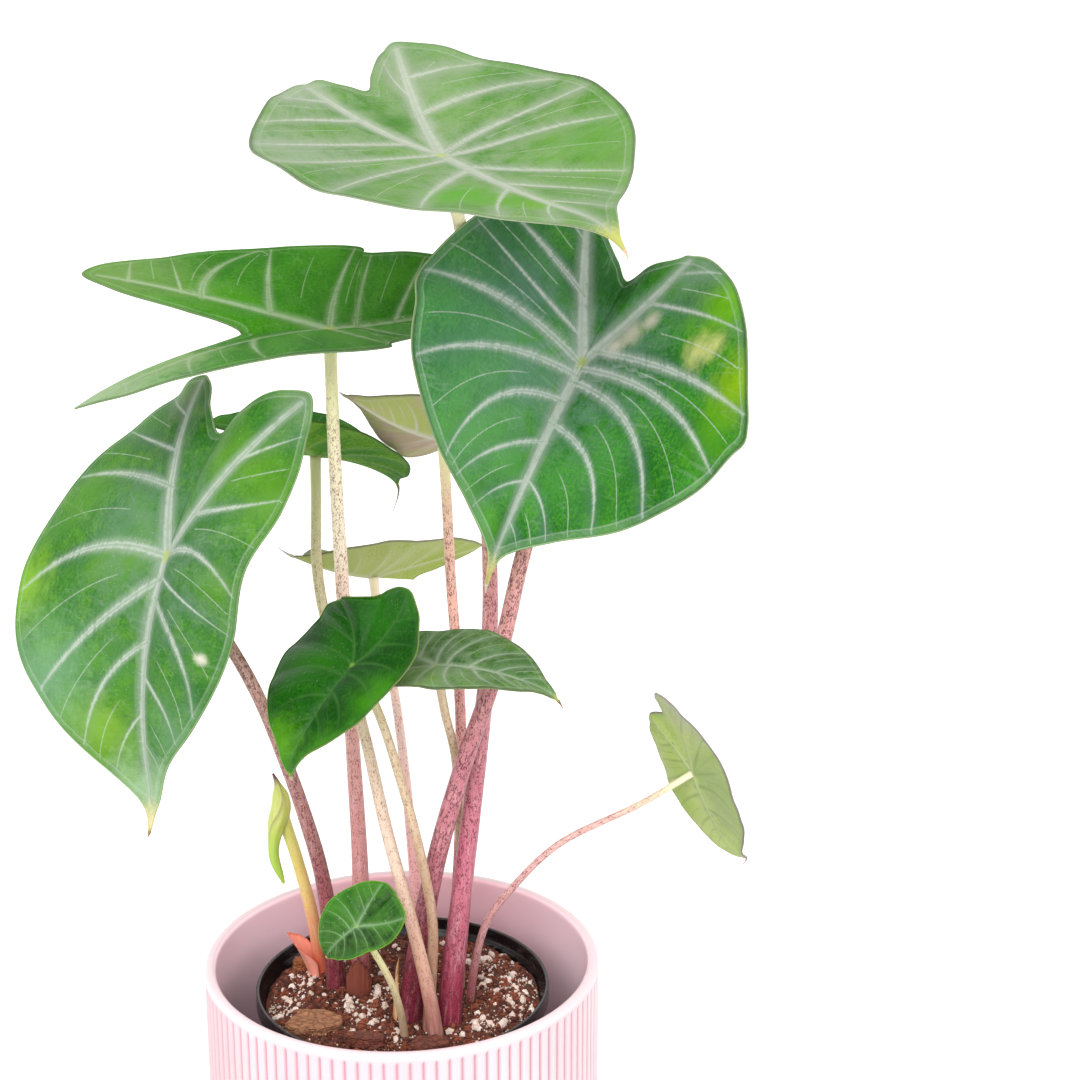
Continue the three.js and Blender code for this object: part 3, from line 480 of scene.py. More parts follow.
# %% Values of the side veins
SIDE_VEINS = {  # for the left and the right half: where on the midrib (or, if negative, on the lobe's rib)
    # it starts, its place on the margin, its bow and its width in millimetres
    "top": (
        [(0, 6.9, 0.46, 1.7), (0.02, 5.6, 0.4, 1.7), (0.13, 3.9, 0.14, 1.6), (0.33, 3.4, 0.12, 1.0),
         (0.56, 2.8, 0.1, 0.7), (-0.45, 7.5, 0.42, 1.5), (-0.75, 8.6, 0.12, 1.0), (-0.6, 11.2, 0.1, 0.5)],
        [(0, 6.6, 0.1, 1.3), (0.05, 5.3, 0.12, 1.0), (0.17, 4.2, 0.12, 1.5), (0.4, 3.4, 0.1, 1.0),
         (0.62, 2.7, 0.1, 0.6), (-0.22, 7.5, 0.1, 1.3), (-0.57, 8.4, 0.05, 1.1), (-0.8, 9.2, 0, 0.8)]),
    "right": (
        [(0.03, 5.5, 0.22, 1.8), (0.09, 4.3, 0.33, 1.7), (0.28, 3.6, 0.36, 1.3), (0.52, 3.0, 0.2, 0.6),
         (0.7, 2.4, 0.1, 0.4), (-0.12, 7.2, 0.1, 1.7), (-0.6, 8.1, 0.06, 0.8), (-0.86, 9.1, 0, 0.8)],
        [(0.01, 7.2, 0.14, 1.8), (0.06, 5.2, 0.15, 1.7), (0.18, 3.9, 0.38, 1.4), (0.36, 3.6, 0.16, 1.0),
         (0.53, 3.1, 0.16, 0.6), (-0.16, 8.0, 0.02, 0.8), (-0.45, 8.4, 0.05, 1.4), (-0.8, 9.3, 0, 0.6)]),
    "left_big": (
        [(0, 6.6, 0.4, 1.4), (0.07, 6.0, 0.05, 0.6), (0.15, 4.2, 0.3, 1.2), (0.42, 3.6, 0.25, 0.8),
         (0.66, 2.8, 0.15, 0.4), (-0.25, 8.2, -0.04, 1.0), (-0.58, 9.2, 0, 0.7)],
        [(0, 5.6, 0.24, 2.0), (0.08, 4.2, 0.06, 1.7), (0.3, 3.4, 0.2, 1.1), (0.55, 2.8, 0.12, 0.5),
         (-0.36, 7.3, 0.1, 1.5), (-0.55, 8.2, 0, 0.8), (-0.75, 9.0, 0, 0.6)]),
    "left_flat": (
        [(0, 7.2, 0.1, 1.5), (0.1, 5.7, 0.06, 1.1), (0.25, 4.6, 0.06, 1.0), (0.46, 3.8, 0.08, 0.8),
         (0.64, 3.1, 0.1, 0.5), (-0.27, 8.0, 0.04, 1.3), (-0.56, 8.1, 0.28, 1.4),
         (-0.64, 8.9, 0, 0.5), (-0.84, 9.3, 0, 0.7)],
        [(0, 6.9, 0.1, 1.2), (0.12, 5.4, 0.1, 1.0), (0.3, 4.2, 0.1, 0.9), (0.52, 3.4, 0.1, 0.6),
         (-0.3, 8.1, 0.1, 1.2), (-0.55, 8.7, 0.05, 1.0), (-0.8, 9.3, 0, 0.7)]),
    "side": (
        [(0, 6.3, 0.05, 1.0), (0.2, 5.0, 0.12, 0.9), (0.43, 4.0, 0.12, 0.7), (0.64, 3.2, 0.1, 0.4),
         (-0.2, 7.4, 0.05, 0.6), (-0.5, 8.1, -0.12, 0.8), (-0.75, 9.6, 0, 0.5)],
        [(0, 8.4, 0.06, 1.1), (0.0, 7.5, -0.06, 1.1), (0.13, 5.3, 0.4, 1.1), (0.36, 4.3, 0.25, 0.8),
         (0.58, 3.4, 0.15, 0.5), (-0.45, 9.1, 0.05, 0.7), (-0.7, 9.5, 0, 0.4)]),
    "small": (
        [(0, 7.2, 0.2, 0.8), (0.08, 5.6, 0.24, 0.8), (0.26, 4.2, 0.24, 0.7), (0.47, 3.5, 0.18, 0.5),
         (0.66, 2.9, 0.12, 0.3), (-0.3, 8.1, 0.08, 0.6), (-0.62, 8.9, 0, 0.5)],
        [(0, 7.0, 0.16, 0.8), (0.11, 5.4, 0.2, 0.8), (0.3, 4.0, 0.22, 0.7), (0.5, 3.3, 0.18, 0.5),
         (0.7, 2.8, 0.12, 0.3), (-0.34, 8.2, 0.06, 0.6), (-0.66, 8.9, 0, 0.5)]),
}
VEIN_STEPS = 50
VEIN_TAPER = 0.75
COLLECTING = 2.8  # how far inside the margin the side veins meet the vein that runs round the blade


# %% Distances from the side veins


def vein_curves(blade, table, side):
    """Each vein is bowed from its rib to just inside the margin and gets thinner on its way. The thin
    ones between are the means of their neighbours."""
    share, place, bow, width = np.array(sorted(table, key=lambda vein: vein[1])).T
    on_midrib = np.maximum(share, 0)[:, None] * [blade["length"], 0]
    start = on_midrib + np.maximum(-share, 0)[:, None] * lobe_tip(blade, side)
    rim = along_margin(margin_points(blade, side), place)
    end = rim + unit(start - rim) * COLLECTING * blade["length"] / 90
    t = np.linspace(0, 1, VEIN_STEPS)[None, :, None]
    width = width * np.minimum(1, blade["length"] / 48)
    path = bowed(start[:, None], end[:, None], bow[:, None, None], t) * [1, -1 if side else 1]
    between = (path[1:] + path[:-1])[:, VEIN_STEPS // 3:] / 2
    return path, width[:, None] * (1 - VEIN_TAPER * t[..., 0]), between


def from_curves(flat, paths, widths):
    """For each flat point: the distance from the nearest curve with the sign of its side, without the
    sign, and that curve's width there."""
    spots = paths.reshape(-1, 2)
    along = unit(np.gradient(paths, axis=1)).reshape(-1, 2)
    gaps = ((flat[:, None] - spots[None]) ** 2).sum(axis=2)
    nearest = gaps.argmin(axis=1)
    offset = flat - spots[nearest]
    signed = cross(along[nearest], offset)
    inside = np.abs((offset * along[nearest]).sum(axis=1)) < 1.5
    far = np.sqrt(gaps[np.arange(len(flat)), nearest])
    near = np.where(inside, np.abs(signed), far)
    return np.where(signed < 0, -near, near), near, widths.reshape(-1)[nearest]


# %% Bending the sheet into place


def placed(blade, flat, lift):
    """Folded and curled across: a point v out from the midrib goes round an arc of width / curl. Leaned
    along its centreline by arch, hook and back. Twisted with u, and set on the joint, turned by heading,
    pitch and roll."""
    u, v = flat[..., 0], flat[..., 1]
    side = (v < 0).astype(int)
    width = np.array(blade["half_width"])[side]
    fold = np.radians(np.array(blade["fold"])[side])
    curl = np.radians(np.array(blade["curl"])[side])
    curl = np.where(curl == 0, 1e-3, curl)
    turn = fold + curl * np.abs(v) / width
    out = width / curl * (np.sin(turn) - np.sin(fold)) - lift * np.sin(turn)
    left_drop, right_drop = (blade["drop"][k] * (np.maximum(0, -u) / blade["lobe"][k])**2 for k in (0, 1))
    to_left = smooth_step(0.5 + v / (0.3 * width))
    drop = right_drop + (left_drop - right_drop) * to_left
    rise = width / curl * (np.cos(fold) - np.cos(turn)) + lift * np.cos(turn) - drop
    twist = np.radians(blade["twist"]) * u / blade["length"]
    across = np.where(side == 1, -out, out)
    y = across * np.cos(twist) - rise * np.sin(twist)
    z = across * np.sin(twist) + rise * np.cos(twist)
    x_line, z_line, lean = centreline(blade, u)
    along, left, normal = blade_axes(blade)
    forward = (x_line + z * np.sin(lean))[..., None] * along
    return blade["joint"] + forward + y[..., None] * left + (z_line + z * np.cos(lean))[..., None] * normal


def centreline(blade, u):
    """The centreline's place and lean at u: the sums of the cosine and sine of the lean up to there."""
    mean_lobe = (blade["lobe"][0] + blade["lobe"][1]) / 2
    table = np.linspace(-2 * mean_lobe, blade["length"], 1200)
    share = table / blade["length"]
    hooked = np.maximum(0, share - HOOK_START) / (1 - HOOK_START)
    to_tip = blade["arch"] * share + blade["hook"] * hooked**2
    lean = np.radians(np.where(table >= 0, to_tip, blade["back"] * table / mean_lobe))
    step = table[1] - table[0]
    x = np.cumsum(np.cos(lean)) * step
    z = -np.cumsum(np.sin(lean)) * step
    x -= np.interp(0, table, x)
    z -= np.interp(0, table, z)
    return np.interp(u, table, x), np.interp(u, table, z), np.interp(u, table, lean)


def blade_axes(blade):
    """The directions along the midrib, to the leaf's left and out of its upper face at the joint."""
    h, q, r = np.radians([blade["heading"], blade["pitch"], blade["roll"]])
    along = np.array([np.cos(h) * np.cos(q), np.sin(h) * np.cos(q), -np.sin(q)])
    level = np.array([-np.sin(h), np.cos(h), 0])
    up = np.array([np.sin(q) * np.cos(h), np.sin(q) * np.sin(h), np.cos(q)])
    return along, level * np.cos(r) + up * np.sin(r), up * np.cos(r) - level * np.sin(r)


# %% The whole sheet, with its two faces and its rim
HALF_THICK = 0.28  # millimetres
GROOVE = 0.22  # how deep a vein is sunk in the upper face
RIB_RAISED = 0.9  # how far the ribs stand out below
VEIN_RAISED = 0.35
THREAD_SIDES = 8
THREAD_STEPS = 24


def sheet_of(name, per_span, rows):
    """One sheet from two half grids that share their points on the midrib, the tip and the notch line,
    with each point's distances from the veins."""
    blade = BLADES[name]
    flats, values, grids, curves = [], [], [], []
    count = (12 * per_span + 1) * rows
    for side in (0, 1):
        column, t, flat = half_grid(blade, side, per_span, rows)
        rib, edge = rib_and_edge(blade, side, flat)
        ends = np.sin(np.pi * column / 12)[:, None] ** 0.5
        phase = rng.uniform(0, 6)
        ripple = np.sin(2.3 * column + phase) + 0.5 * np.sin(4.6 * column + 2 * phase)
        wave = blade["wave"] * ends * ripple[:, None] * t**4
        flat = flat * [1, -1 if side else 1]
        spoke = np.stack(np.broadcast_arrays(column[:, None], t[None, :], np.full((1, 1), side)), axis=-1)
        fields = np.concatenate([np.stack([wave, rib, edge], axis=-1), spoke], axis=-1)
        flats.append(flat.reshape(-1, 2))
        values.append(fields.reshape(count, -1))
        grids.append(np.arange(count).reshape(-1, rows) + side * count)
        curves.append(vein_curves(blade, SIDE_VEINS.get(name, SIDE_VEINS["small"])[side], side))
    flat = np.concatenate(flats)
    keys = np.round(flat * 100 + 0.137).astype(np.int64)
    _, first, number = np.unique(keys @ [10**6, 1], return_index=True, return_inverse=True)
    flat = flat[first]
    wave, rib, edge, column, t, side = np.concatenate(values)[first].T
    paths, widths, between = (np.concatenate(parts) for parts in zip(*curves))
    vein, near, width = from_curves(flat, paths, widths)
    minor, minor_near, _ = from_curves(flat, between, np.ones(between.shape[:2]))
    fields = dict(wave=wave, rib=rib, edge=edge, vein=vein, near=near, width=width, minor=minor,
                  minor_near=minor_near, out=t, spoke=np.column_stack([column, t, side]))
    return flat, fields, [number.ravel()[grid] for grid in grids]


def point_normals(points, quads):
    """At each point, the faces' directions added up by their area."""
    a, b, c, d = (points[quads[:, k]] for k in range(4))
    facing = np.cross(c - a, d - b)
    total = np.zeros_like(points)
    for k in range(4):
        np.add.at(total, quads[:, k], facing)
    return unit(total)


def thread_from(blade, tip, aim, down):
    """The drip tip's fine thread: a thin tube that leaves the tip along aim and bends by share squared.
    Its points and its faces."""
    length, bend_level, bend_up = blade["thread"]
    share = np.linspace(0, 1, THREAD_STEPS)[:, None]
    bend = np.array([bend_level * aim[1], -bend_level * aim[0], bend_up])
    path = tip + length * (aim * (share - 0.1) + bend * share**2)
    forward = unit(np.gradient(path, axis=0))
    first = unit(np.cross(forward, down))
    radius = 0.5 * (1 - share) ** 1.5 + 0.13
    tube = circles(path, radius, first, np.cross(forward, first), THREAD_SIDES)
    return closed_tube(tube, path[[0, -1]])


def make_blade(name, material):
    blade = BLADES[name]
    per_span, rows = (14, 46) if name in BIG else (8, 26)
    flat, fields, (left, right) = sheet_of(name, per_span, rows)
    rib, near, out, edge = (fields[key] for key in ("rib", "near", "out", "edge"))
    size = blade["length"] / 90
    hollow = np.minimum(np.minimum(near, rib), np.abs(flat[:, 1])) / (8 * size)
    lift = blade["quilt"] * smooth_step(hollow) * smooth_step(0.3 + edge / (9 * size)) + fields["wave"]
    sheet = placed(blade, flat, lift)
    quads = np.vstack([grid_faces(left)[:, ::-1], grid_faces(right)])
    normal = point_normals(sheet, quads)
    reach = np.linalg.norm(flat, axis=1)
    weaker = 1 - 0.7 * out
    at_rib = np.exp(-(rib / (1.3 * size)) ** 2)
    at_vein = weaker * np.exp(-(near / (0.9 * size)) ** 2)
    sunk = GROOVE * size * np.maximum(at_rib, at_vein)
    ribs = RIB_RAISED * size * (1 - 0.75 * np.minimum(reach / blade["length"], 1)) * at_rib
    raised = np.maximum(ribs, VEIN_RAISED * size * at_vein)
    upper = sheet + normal * (HALF_THICK - sunk)[:, None]
    lower = sheet - normal * (HALF_THICK + raised)[:, None]
    ring = np.concatenate([left[:, -1], right[::-1, -1]])
    inside = np.concatenate([left[:, -2], right[::-1, -2]])
    keep = ring != np.roll(ring, 1)
    ring, inside = ring[keep], inside[keep]
    rim = sheet[ring] + unit(sheet[ring] - sheet[inside]) * HALF_THICK * 0.9
    count = len(sheet)
    rim_ids = 2 * count + np.arange(len(ring))
    bands = np.stack([ring, rim_ids, ring + count], axis=1)
    tip = placed(blade, np.array([[blade["length"] - 0.4, 0.0], [blade["length"] - 2, 0.0]]), np.zeros(2))
    aim = unit(tip[0] - tip[1])
    thread, (thread_quads, fans) = thread_from(blade, tip[0], aim, np.array([0.1, 0.2, -1]))
    base = 2 * count + len(ring)
    whole, thin = without_slivers(np.vstack([
        quads, quads[:, ::-1] + count, grid_faces(bands, closed=True), thread_quads + base]))
    points = np.vstack([upper, lower, rim, thread])
    extra = len(thread)
    down_thread = np.append(np.repeat(np.linspace(0, 1, THREAD_STEPS), THREAD_SIDES), [0, 1])

    def everywhere(array, at_thread):
        tail = np.broadcast_to(np.asarray(at_thread, dtype=float), (extra,) + array.shape[1:])
        return np.concatenate([array, array, array[ring], tail])

    on_tip = np.linalg.norm(flat - [blade["length"], 0], axis=1)
    beyond = {key: 50 for key in ("rib", "edge", "vein", "near", "minor", "minor_near")}
    values = {key: everywhere(fields[key], far) for key, far in beyond.items()}
    values.update({
        "width": everywhere(fields["width"], 1),
        "out": everywhere(out, 1),
        "spoke": everywhere(fields["spoke"], 0),
        "reach": everywhere(reach, 200),
        "tip": everywhere(on_tip, -down_thread * blade["thread"][0]),
        "under": np.repeat([0, 1, 0.5, 0], [count, count, len(ring), extra]),
        "flat": everywhere(np.column_stack([flat, np.zeros(count)]), blade["length"]),
    })
    return piece(f"leaf_{name}", points, (whole, np.vstack([thin, fans + base])), material,
                 [f"blade_{name}"], values)


# %% [markdown]
# ## The blades' colour
# The upper face is dark to bright green. Wide silver-white veins stand out on it with soft, feathered
# sides, thin veins run between them, and one thin vein collects them all just inside the margin. The
# underside is pale, with darker veins. A painted picture could carry all this, but it would need unfolding
# and would blur close up. Each point already knows its distance from the veins, the ribs and the margin,
# so the colour is worked out from those distances, with some noise to feather it. One function makes the
# finish, and each leaf has its own colours and widths, because an old leaf, a young one and one lit from
# behind look very different.

# %% Colours of each leaf
LOOK = dict(
    dark="2a7a1a", light="4a962e", lime="7cb822", lime_amount=0.5, silver="7fa884", silver_reach=30,
    silver_amount=0.35, halo=4, halo_amount=0.25, vein="bccbb6", vein_amount=0.8, feather=1.0, rib_width=1.5,
    rib_middle="a4bc9c", minor=0.4, net=0.06, band=2.0, band_color="8fb87c", band_amount=0.15,
    edge="a0c084", edge_width=0.35, line="3f6a34", joint="b9c96a", joint_reach=3, tip="e9df9a", tip_reach=6,
    tip_end="cfc4a4", under="a9bf7d", under_dark="8fab62", under_vein="7f9c58", under_rib="8fa86c",
    rough=0.48, shine=0.15, clear=1, spots=(), under_spots=())
LOOKS = {
    "top": dict(
        shine=0.12, dark="468820", light="6a9e3e", lime="66ac18", silver="a8b69a", silver_reach=95,
        silver_amount=0.38, halo=6.5, halo_amount=0.62, vein="cdd2c4", feather=1.6, rib_width=2.6,
        rib_middle="b4c0a6", minor=0.45, band=3, band_color="9cba86", band_amount=0.2,
        edge="a9bd94", line="7d867a", joint="bfd073", tip="ccd070", tip_reach=15, tip_end="ecc8a0",
        rough=0.52,
        spots=((50, -18, 14, "5cae08", 0.95), (60, -8, 12, "62a810", 0.95), (70, -4, 8, "70b01c", 0.8),
               (34, 38, 24, "66ac28", 0.6), (-30, 0, 8, "3c8414", 0.85), (-60, -34, 24, "b4c0a8", 0.75),
               (-8, -50, 26, "b0bea4", 0.55), (58, 24, 16, "70aa3c", 0.6), (-52, 20, 22, "a3b394", 0.5))),
    "right": dict(
        clear=15, dark="1e6c1c", light="479c2e", lime="5cae14", silver="769a8a", silver_reach=38,
        silver_amount=0.6, halo=4.5, halo_amount=0.3, shine=0.1, vein="d6ddd6", vein_amount=0.88,
        feather=1.4, rib_width=3.1,
        rib_middle="b9ccb2", minor=0.5, net=0.08, band=2.6, band_color="90b58c", band_amount=0.3,
        edge="b4d49a", edge_width=0.4, line="5a8450", tip="e9e094", tip_reach=15, tip_end="f9f3e0",
        rough=0.45,
        spots=((-24, 46, 14, "78c00c", 0.85), (-2, 63, 11, "94c412", 0.9), (12, 60, 12, "5cab16", 0.7),
               (-10, 43, 6, "dfe08c", 0.85), (-12, 49, 4.5, "dfe08c", 0.8),  # pale scars from here on
               (-8, 9, 4.5, "e9e2d2", 0.9), (-13, 13.5, 5, "e8e0cc", 0.9), (-18, 19, 4, "e4dfcc", 0.85),
               (-26, -10, 16, "146008", 0.85), (-36, 4, 14, "146008", 0.75), (-20, -46, 14, "206820", 0.6),
               (-34, 30, 12, "84a284", 0.6), (8, -42, 34, "66a47c", 0.5), (38, -24, 32, "70ac6e", 0.5),
               (34, 20, 20, "4f9c44", 0.4), (-8, -30, 12, "64907c", 0.5), (14, -16, 12, "64947c", 0.5))),
    "left_big": dict(
        dark="1c6c0e", light="468a24", lime="74b018", silver="74967a", silver_reach=40, silver_amount=0.45,
        halo=5, halo_amount=0.28, vein="cdd6ca", vein_amount=0.82, feather=1.5, rib_width=2.4,
        rib_middle="9caf98", minor=0.42, net=0.07, band=2.2, band_color="98bc88", band_amount=0.2,
        edge="a6c888", tip="f0e8ac", tip_reach=14, tip_end="a5764a",
        spots=((28, 24, 2.6, "eee9d4", 0.95), (24, -54, 14, "8cc42a", 0.8), (-30, 38, 16, "6cac1c", 0.6),
               (58, -14, 13, "8cbc3c", 0.6), (82, 0, 17, "b5d4a8", 0.75), (2, 28, 9, "74ac1c", 0.35),
               (-60, 37, 11, "8ca480", 0.5), (-52, -26, 10, "869c6c", 0.6), (-10, -46, 16, "68ac1c", 0.5),
               (46, -36, 22, "8ab88c", 0.6), (60, 16, 18, "7cac78", 0.55), (-6, -20, 18, "6f9a78", 0.4))),
    "left_flat": dict(
        dark="2a7a06", light="48961c", lime="5ca81c", silver="7ca45c", silver_reach=12, silver_amount=0.2,
        halo=3.5, halo_amount=0.2, vein="b9cca8", vein_amount=0.72, rib_width=1.9, rib_middle="a4bf92",
        band_color="8fb27a", edge="8fae78", under="b2d096", shine=0.05,
        spots=((-60, 34, 28, "84a85c", 0.75), (-80, -28, 38, "b2cc9c", 0.85), (-50, -20, 16, "96b872", 0.7),
               (2, 20, 16, "3c8c0c", 0.5))),
    "centre": dict(
        dark="0c4a04", light="1e6c0c", lime="3a8c0c", silver="2f6c26", silver_reach=12, silver_amount=0.3,
        halo=1.5, halo_amount=0.2, vein="5c9448", vein_amount=0.3, feather=0.6, rib_width=0.7,
        rib_middle="4c8438", minor=0.1, net=0.05, band=1.5, band_amount=0.1, band_color="4f8838",
        edge="86b054", line="4c8428", rough=0.36, shine=0.16, tip="8fae44", tip_reach=2.5, joint_reach=1.5,
        joint="8fb84c",
        spots=((8, 22, 12, "4a9c10", 0.85), (34, -8, 11, "60a818", 0.8), (30, 12, 9, "4c9c14", 0.7),
               (-18, 4, 9, "2c7c14", 0.6))),
    "behind_centre": dict(
        dark="2e651a", light="68983e", lime="7cac34", silver="98b48e", silver_reach=25, silver_amount=0.5,
        halo=2.5, halo_amount=0.4, vein="c2ceb6", vein_amount=0.7, rib_width=1.1, band=1.5,
        band_color="84a46c", edge="7f9060", line="5f5a44", tip="bcc870", tip_reach=4, tip_end="96683c",
        joint_reach=1.5),
    "arched": dict(
        dark="2c7820", light="469434", lime="6cb02c", vein="86ae6c", vein_amount=0.5, feather=0.6,
        rib_width=1.1, halo=1.5, halo_amount=0.15, silver="5c8a44", silver_reach=15, silver_amount=0.15,
        minor=0.3, band=1.6, band_amount=0.1, band_color="6f9e58", edge="5f8a3c", under="84bc40",
        under_dark="4a9428", under_vein="94bc68", under_rib="94bc68", tip="9aa838", tip_reach=5,
        tip_end="a8a698", rough=0.6, shine=0.03, joint_reach=1.5),
    "far_pale": dict(
        dark="87955c", light="a2ac7a", lime="90a650", vein="c9cdb0", vein_amount=0.6, feather=0.9,
        rib_width=1.2, halo=1.5, band=1.5, band_color="b0b894", under="d0de84", under_dark="e8cabc",
        under_vein="f2eede", under_rib="f2eede", edge="c8c6ac", rough=0.5, joint_reach=1.5, tip="c3bba0",
        tip_end="c9c3ac",
        spots=((10, 10, 16, "94b848", 0.6),)),
    "far_low": dict(
        dark="86a63c", light="9cb258", lime="94b034", vein="b0c080", vein_amount=0.5, feather=0.5,
        rib_width=0.9, halo=1.5, band=1.4, band_color="b5c484", under="c8d884", under_dark="b4cc50",
        under_vein="dce4b4", under_rib="dce4b4", edge="a8a884", rough=0.5, joint_reach=1.5, tip="d0d6b0",
        tip_end="e0e0d0"),
    "side": dict(
        dark="9cba68", light="b0cc7c", lime="a8ca5c", vein="8fa86c", vein_amount=0.5, feather=0.4,
        rib_width=0.8, halo=1.5, halo_amount=0.15, silver_amount=0.1, band=1.4, band_color="a9c184",
        band_amount=0.3, under="ccdf8e", under_dark="b0cf6a", under_vein="98b46c", under_rib="c8d4a0",
        edge="a49a94", edge_width=0.3, line="8a8a80", tip="d0a8a0", tip_reach=1.5, tip_end="a88a8c",
        rough=0.5, joint="dce0b0", joint_reach=1.5,
        under_spots=((-32, -16, 18, "c2c8aa", 0.8), (0, -12, 16, "aac088", 0.7), (16, -8, 14, "b0c08e", 0.7),
                     (14, 12, 9, "a8d048", 0.6), (-4, 9, 8, "a4cc4c", 0.5))),
    "low_round": dict(
        dark="052c02", light="1a5e04", lime="449c0c", silver="5c9438", silver_reach=6, silver_amount=0.4,
        halo=2, halo_amount=0.22, vein="a0c49a", vein_amount=0.6, rib_width=0.7,
        rib_middle="84ac6c", minor=0.1, net=0.05, band=1.1, band_color="5ca41c", band_amount=0.4,
        edge="84bc44", edge_width=0.3, joint="9fc070", joint_reach=1.2, tip_reach=1.5, rough=0.36,
        shine=0.14, spots=((-12, -9, 7, "4f9c1c", 0.6), (8, 8, 5, "1c5c08", 0.5))),
}

# %% The leaf finish


def leaf_finish(name):
    look = {**LOOK, **LOOKS[name]}
    f = Finish(f"leaf_{name}")
    flat, spoke = f.vector("flat"), f.vector("spoke")
    vein, near, width = f.value("vein"), f.value("near"), f.value("width")
    minor, minor_near = f.value("minor"), f.value("minor_near")
    rib, edge, reach = f.value("rib"), f.value("edge"), f.value("reach")
    tip, under, out = f.value("tip"), f.value("under"), f.value("out")
    patches = f.noise(flat, 0.035, 3)
    grain = f.noise(flat, 0.9, 4, 0.65)
    streak = f.noise(f.scaled(spoke, (9, 1.6, 7)), 1.0, 4, 0.6)
    ragged = f.minus(f.noise(flat, 0.9, 3, 0.7), 0.5)
    comb = f.minus(f.noise(f.scaled(spoke, (1.5, 55, 7)), 1.0, 3, 0.6), 0.5)
    feather = f.times(f.plus(comb, f.times(ragged, 0.7)), look["feather"] * 1.5)

    def paint(key):
        return tone(look[key])

    slack = f.between(f.fade(reach, 6, 26), 0.4, 1.4)  # veins crowd together near the joint

    def across(signed, unsigned):
        """The distance from a curve's line, and past its end the distance from its end."""
        return f.larger(f.absolute(signed), f.minus(unsigned, slack))

    # the lamina
    # painted light and shade of the quilting: the lamina is darker along the veins and ribs, where it sinks,
    # and lighter on the crests between them
    painted_quilt_shading = f.between(f.fade(f.smaller(near, rib), 0, 7), -0.07, 0.05)
    mixed = f.plus(f.plus(patches, painted_quilt_shading), f.times(f.minus(grain, 0.5), 0.8))
    color = f.mix(f.fade(mixed, 0.33, 0.69), paint("dark"), paint("light"))
    mottle = f.fade(f.plus(f.noise(flat, 0.1, 5, 0.7), f.times(grain, 0.3)), 0.64, 0.78)
    limes = f.larger(f.fade(f.noise(flat, 0.023, 2), 0.56, 0.7), f.times(mottle, 0.6))
    color = f.laid(color, limes, look["lime_amount"], paint("lime"))
    fading = f.plus(reach, f.times(streak, -24))
    silvery = f.fade(fading, look["silver_reach"], 0)
    silvery = f.times(silvery, f.fade(f.noise(flat, 0.13, 4, 0.65), 0.34, 0.6))
    color = f.laid(color, silvery, look["silver_amount"], paint("silver"))
    # the veins
    from_vein, from_minor = across(vein, near), across(minor, minor_near)
    nearest = f.smaller(from_vein, rib)
    halo = f.fade(f.plus(nearest, f.times(feather, 2)), look["halo"], 0)
    color = f.laid(color, halo, look["halo_amount"], paint("silver"))
    drift = f.scaled(f.add("TexNoise", {"Vector": flat, "Scale": 0.25}, "Color"), (3, 3, 0))
    bent = f.add("VectorMath", {0: flat, 1: drift})
    net = f.cells(bent, 0.33, "DISTANCE_TO_EDGE")
    color = f.laid(color, f.fade(net, 0.07, 0.0), look["net"], paint("silver"))
    in_band = f.fade(f.plus(edge, feather), look["band"] + 0.6, look["band"] - 0.6)
    color = f.laid(color, in_band, look["band_amount"], paint("band_color"))
    uneven = f.noise(flat, 0.22, 5, 0.75)

    def patched(color, spots):
        """Soft-edged patches, each with its place, size, colour and strength."""
        for u, v, size, code, strength in spots:
            gone = f.plus(f.away(flat, (u, v, 0)), f.times(uneven, size * 1.5))
            color = f.laid(color, f.fade(gone, size * 2.1, size * 0.7), strength, tone(code))
        return color

    color = patched(color, look["spots"])
    strand = f.noise(f.scaled(spoke, (4.5, 2.2, 7)), 1.0, 1, 0.5)
    strand = f.fade(f.absolute(f.minus(strand, 0.5)), 0.022, 0.002)
    strand = f.times(strand, f.fade(f.noise(flat, 0.12, 2), 0.4, 0.6))
    color = f.laid(color, strand, look["minor"] * 0.2, paint("vein"))
    thin = f.between(out, 0.42, 0.22)
    minor_line = f.fade(f.plus(from_minor, f.times(feather, 0.25)), thin, 0.05)
    minor_line = f.times(minor_line, f.fade(near, 1.0, 2.6))
    from_band = f.minus(f.plus(edge, f.times(ragged, 0.9)), look["band"])
    collects = f.times(f.fade(f.absolute(from_band), 0.45, 0.05), f.between(patches, 0.1, 1.0))
    starts = f.times(f.fade(out, 0.15, 0.35), f.fade(reach, look["clear"], look["clear"] * 1.7))
    thin_lines = f.larger(f.times(minor_line, starts), collects)
    color = f.laid(color, thin_lines, look["minor"], paint("vein"))
    narrow = f.smaller(width, 1.0)
    vein_share = f.over(f.plus(from_vein, f.times(feather, narrow)), width)
    rib_taper = f.times(reach, -0.72 * look["rib_width"] / BLADES[name]["length"])
    rib_wide = f.larger(f.plus(rib_taper, look["rib_width"]), 0.45)
    rib_share = f.over(f.plus(rib, f.times(feather, 0.7)), rib_wide)
    share = f.smaller(vein_share, rib_share)
    soft = f.times(f.fade(share, 2.4, 0.6), 0.4)
    lines = f.larger(f.fade(share, 1.25, 0.35), soft)
    lines = f.times(lines, f.between(f.fade(edge, 3, 16), 0.62, 1.0))
    pale = f.fade(f.noise(flat, 0.3, 4, 0.7), 0.25, 0.55)
    lines = f.times(lines, f.between(pale, 0.6, 1.0))
    sunk_line = f.times(f.fade(f.over(from_vein, width), 0.4, 0.1), f.fade(width, 0.5, 1.2))
    lines = f.times(lines, f.between(sunk_line, 1.0, 0.65))
    color = f.laid(color, lines, look["vein_amount"], paint("vein"))
    middle = f.fade(f.over(rib, rib_wide), 0.36, 0.08)
    color = f.laid(color, middle, 0.6, paint("rib_middle"))
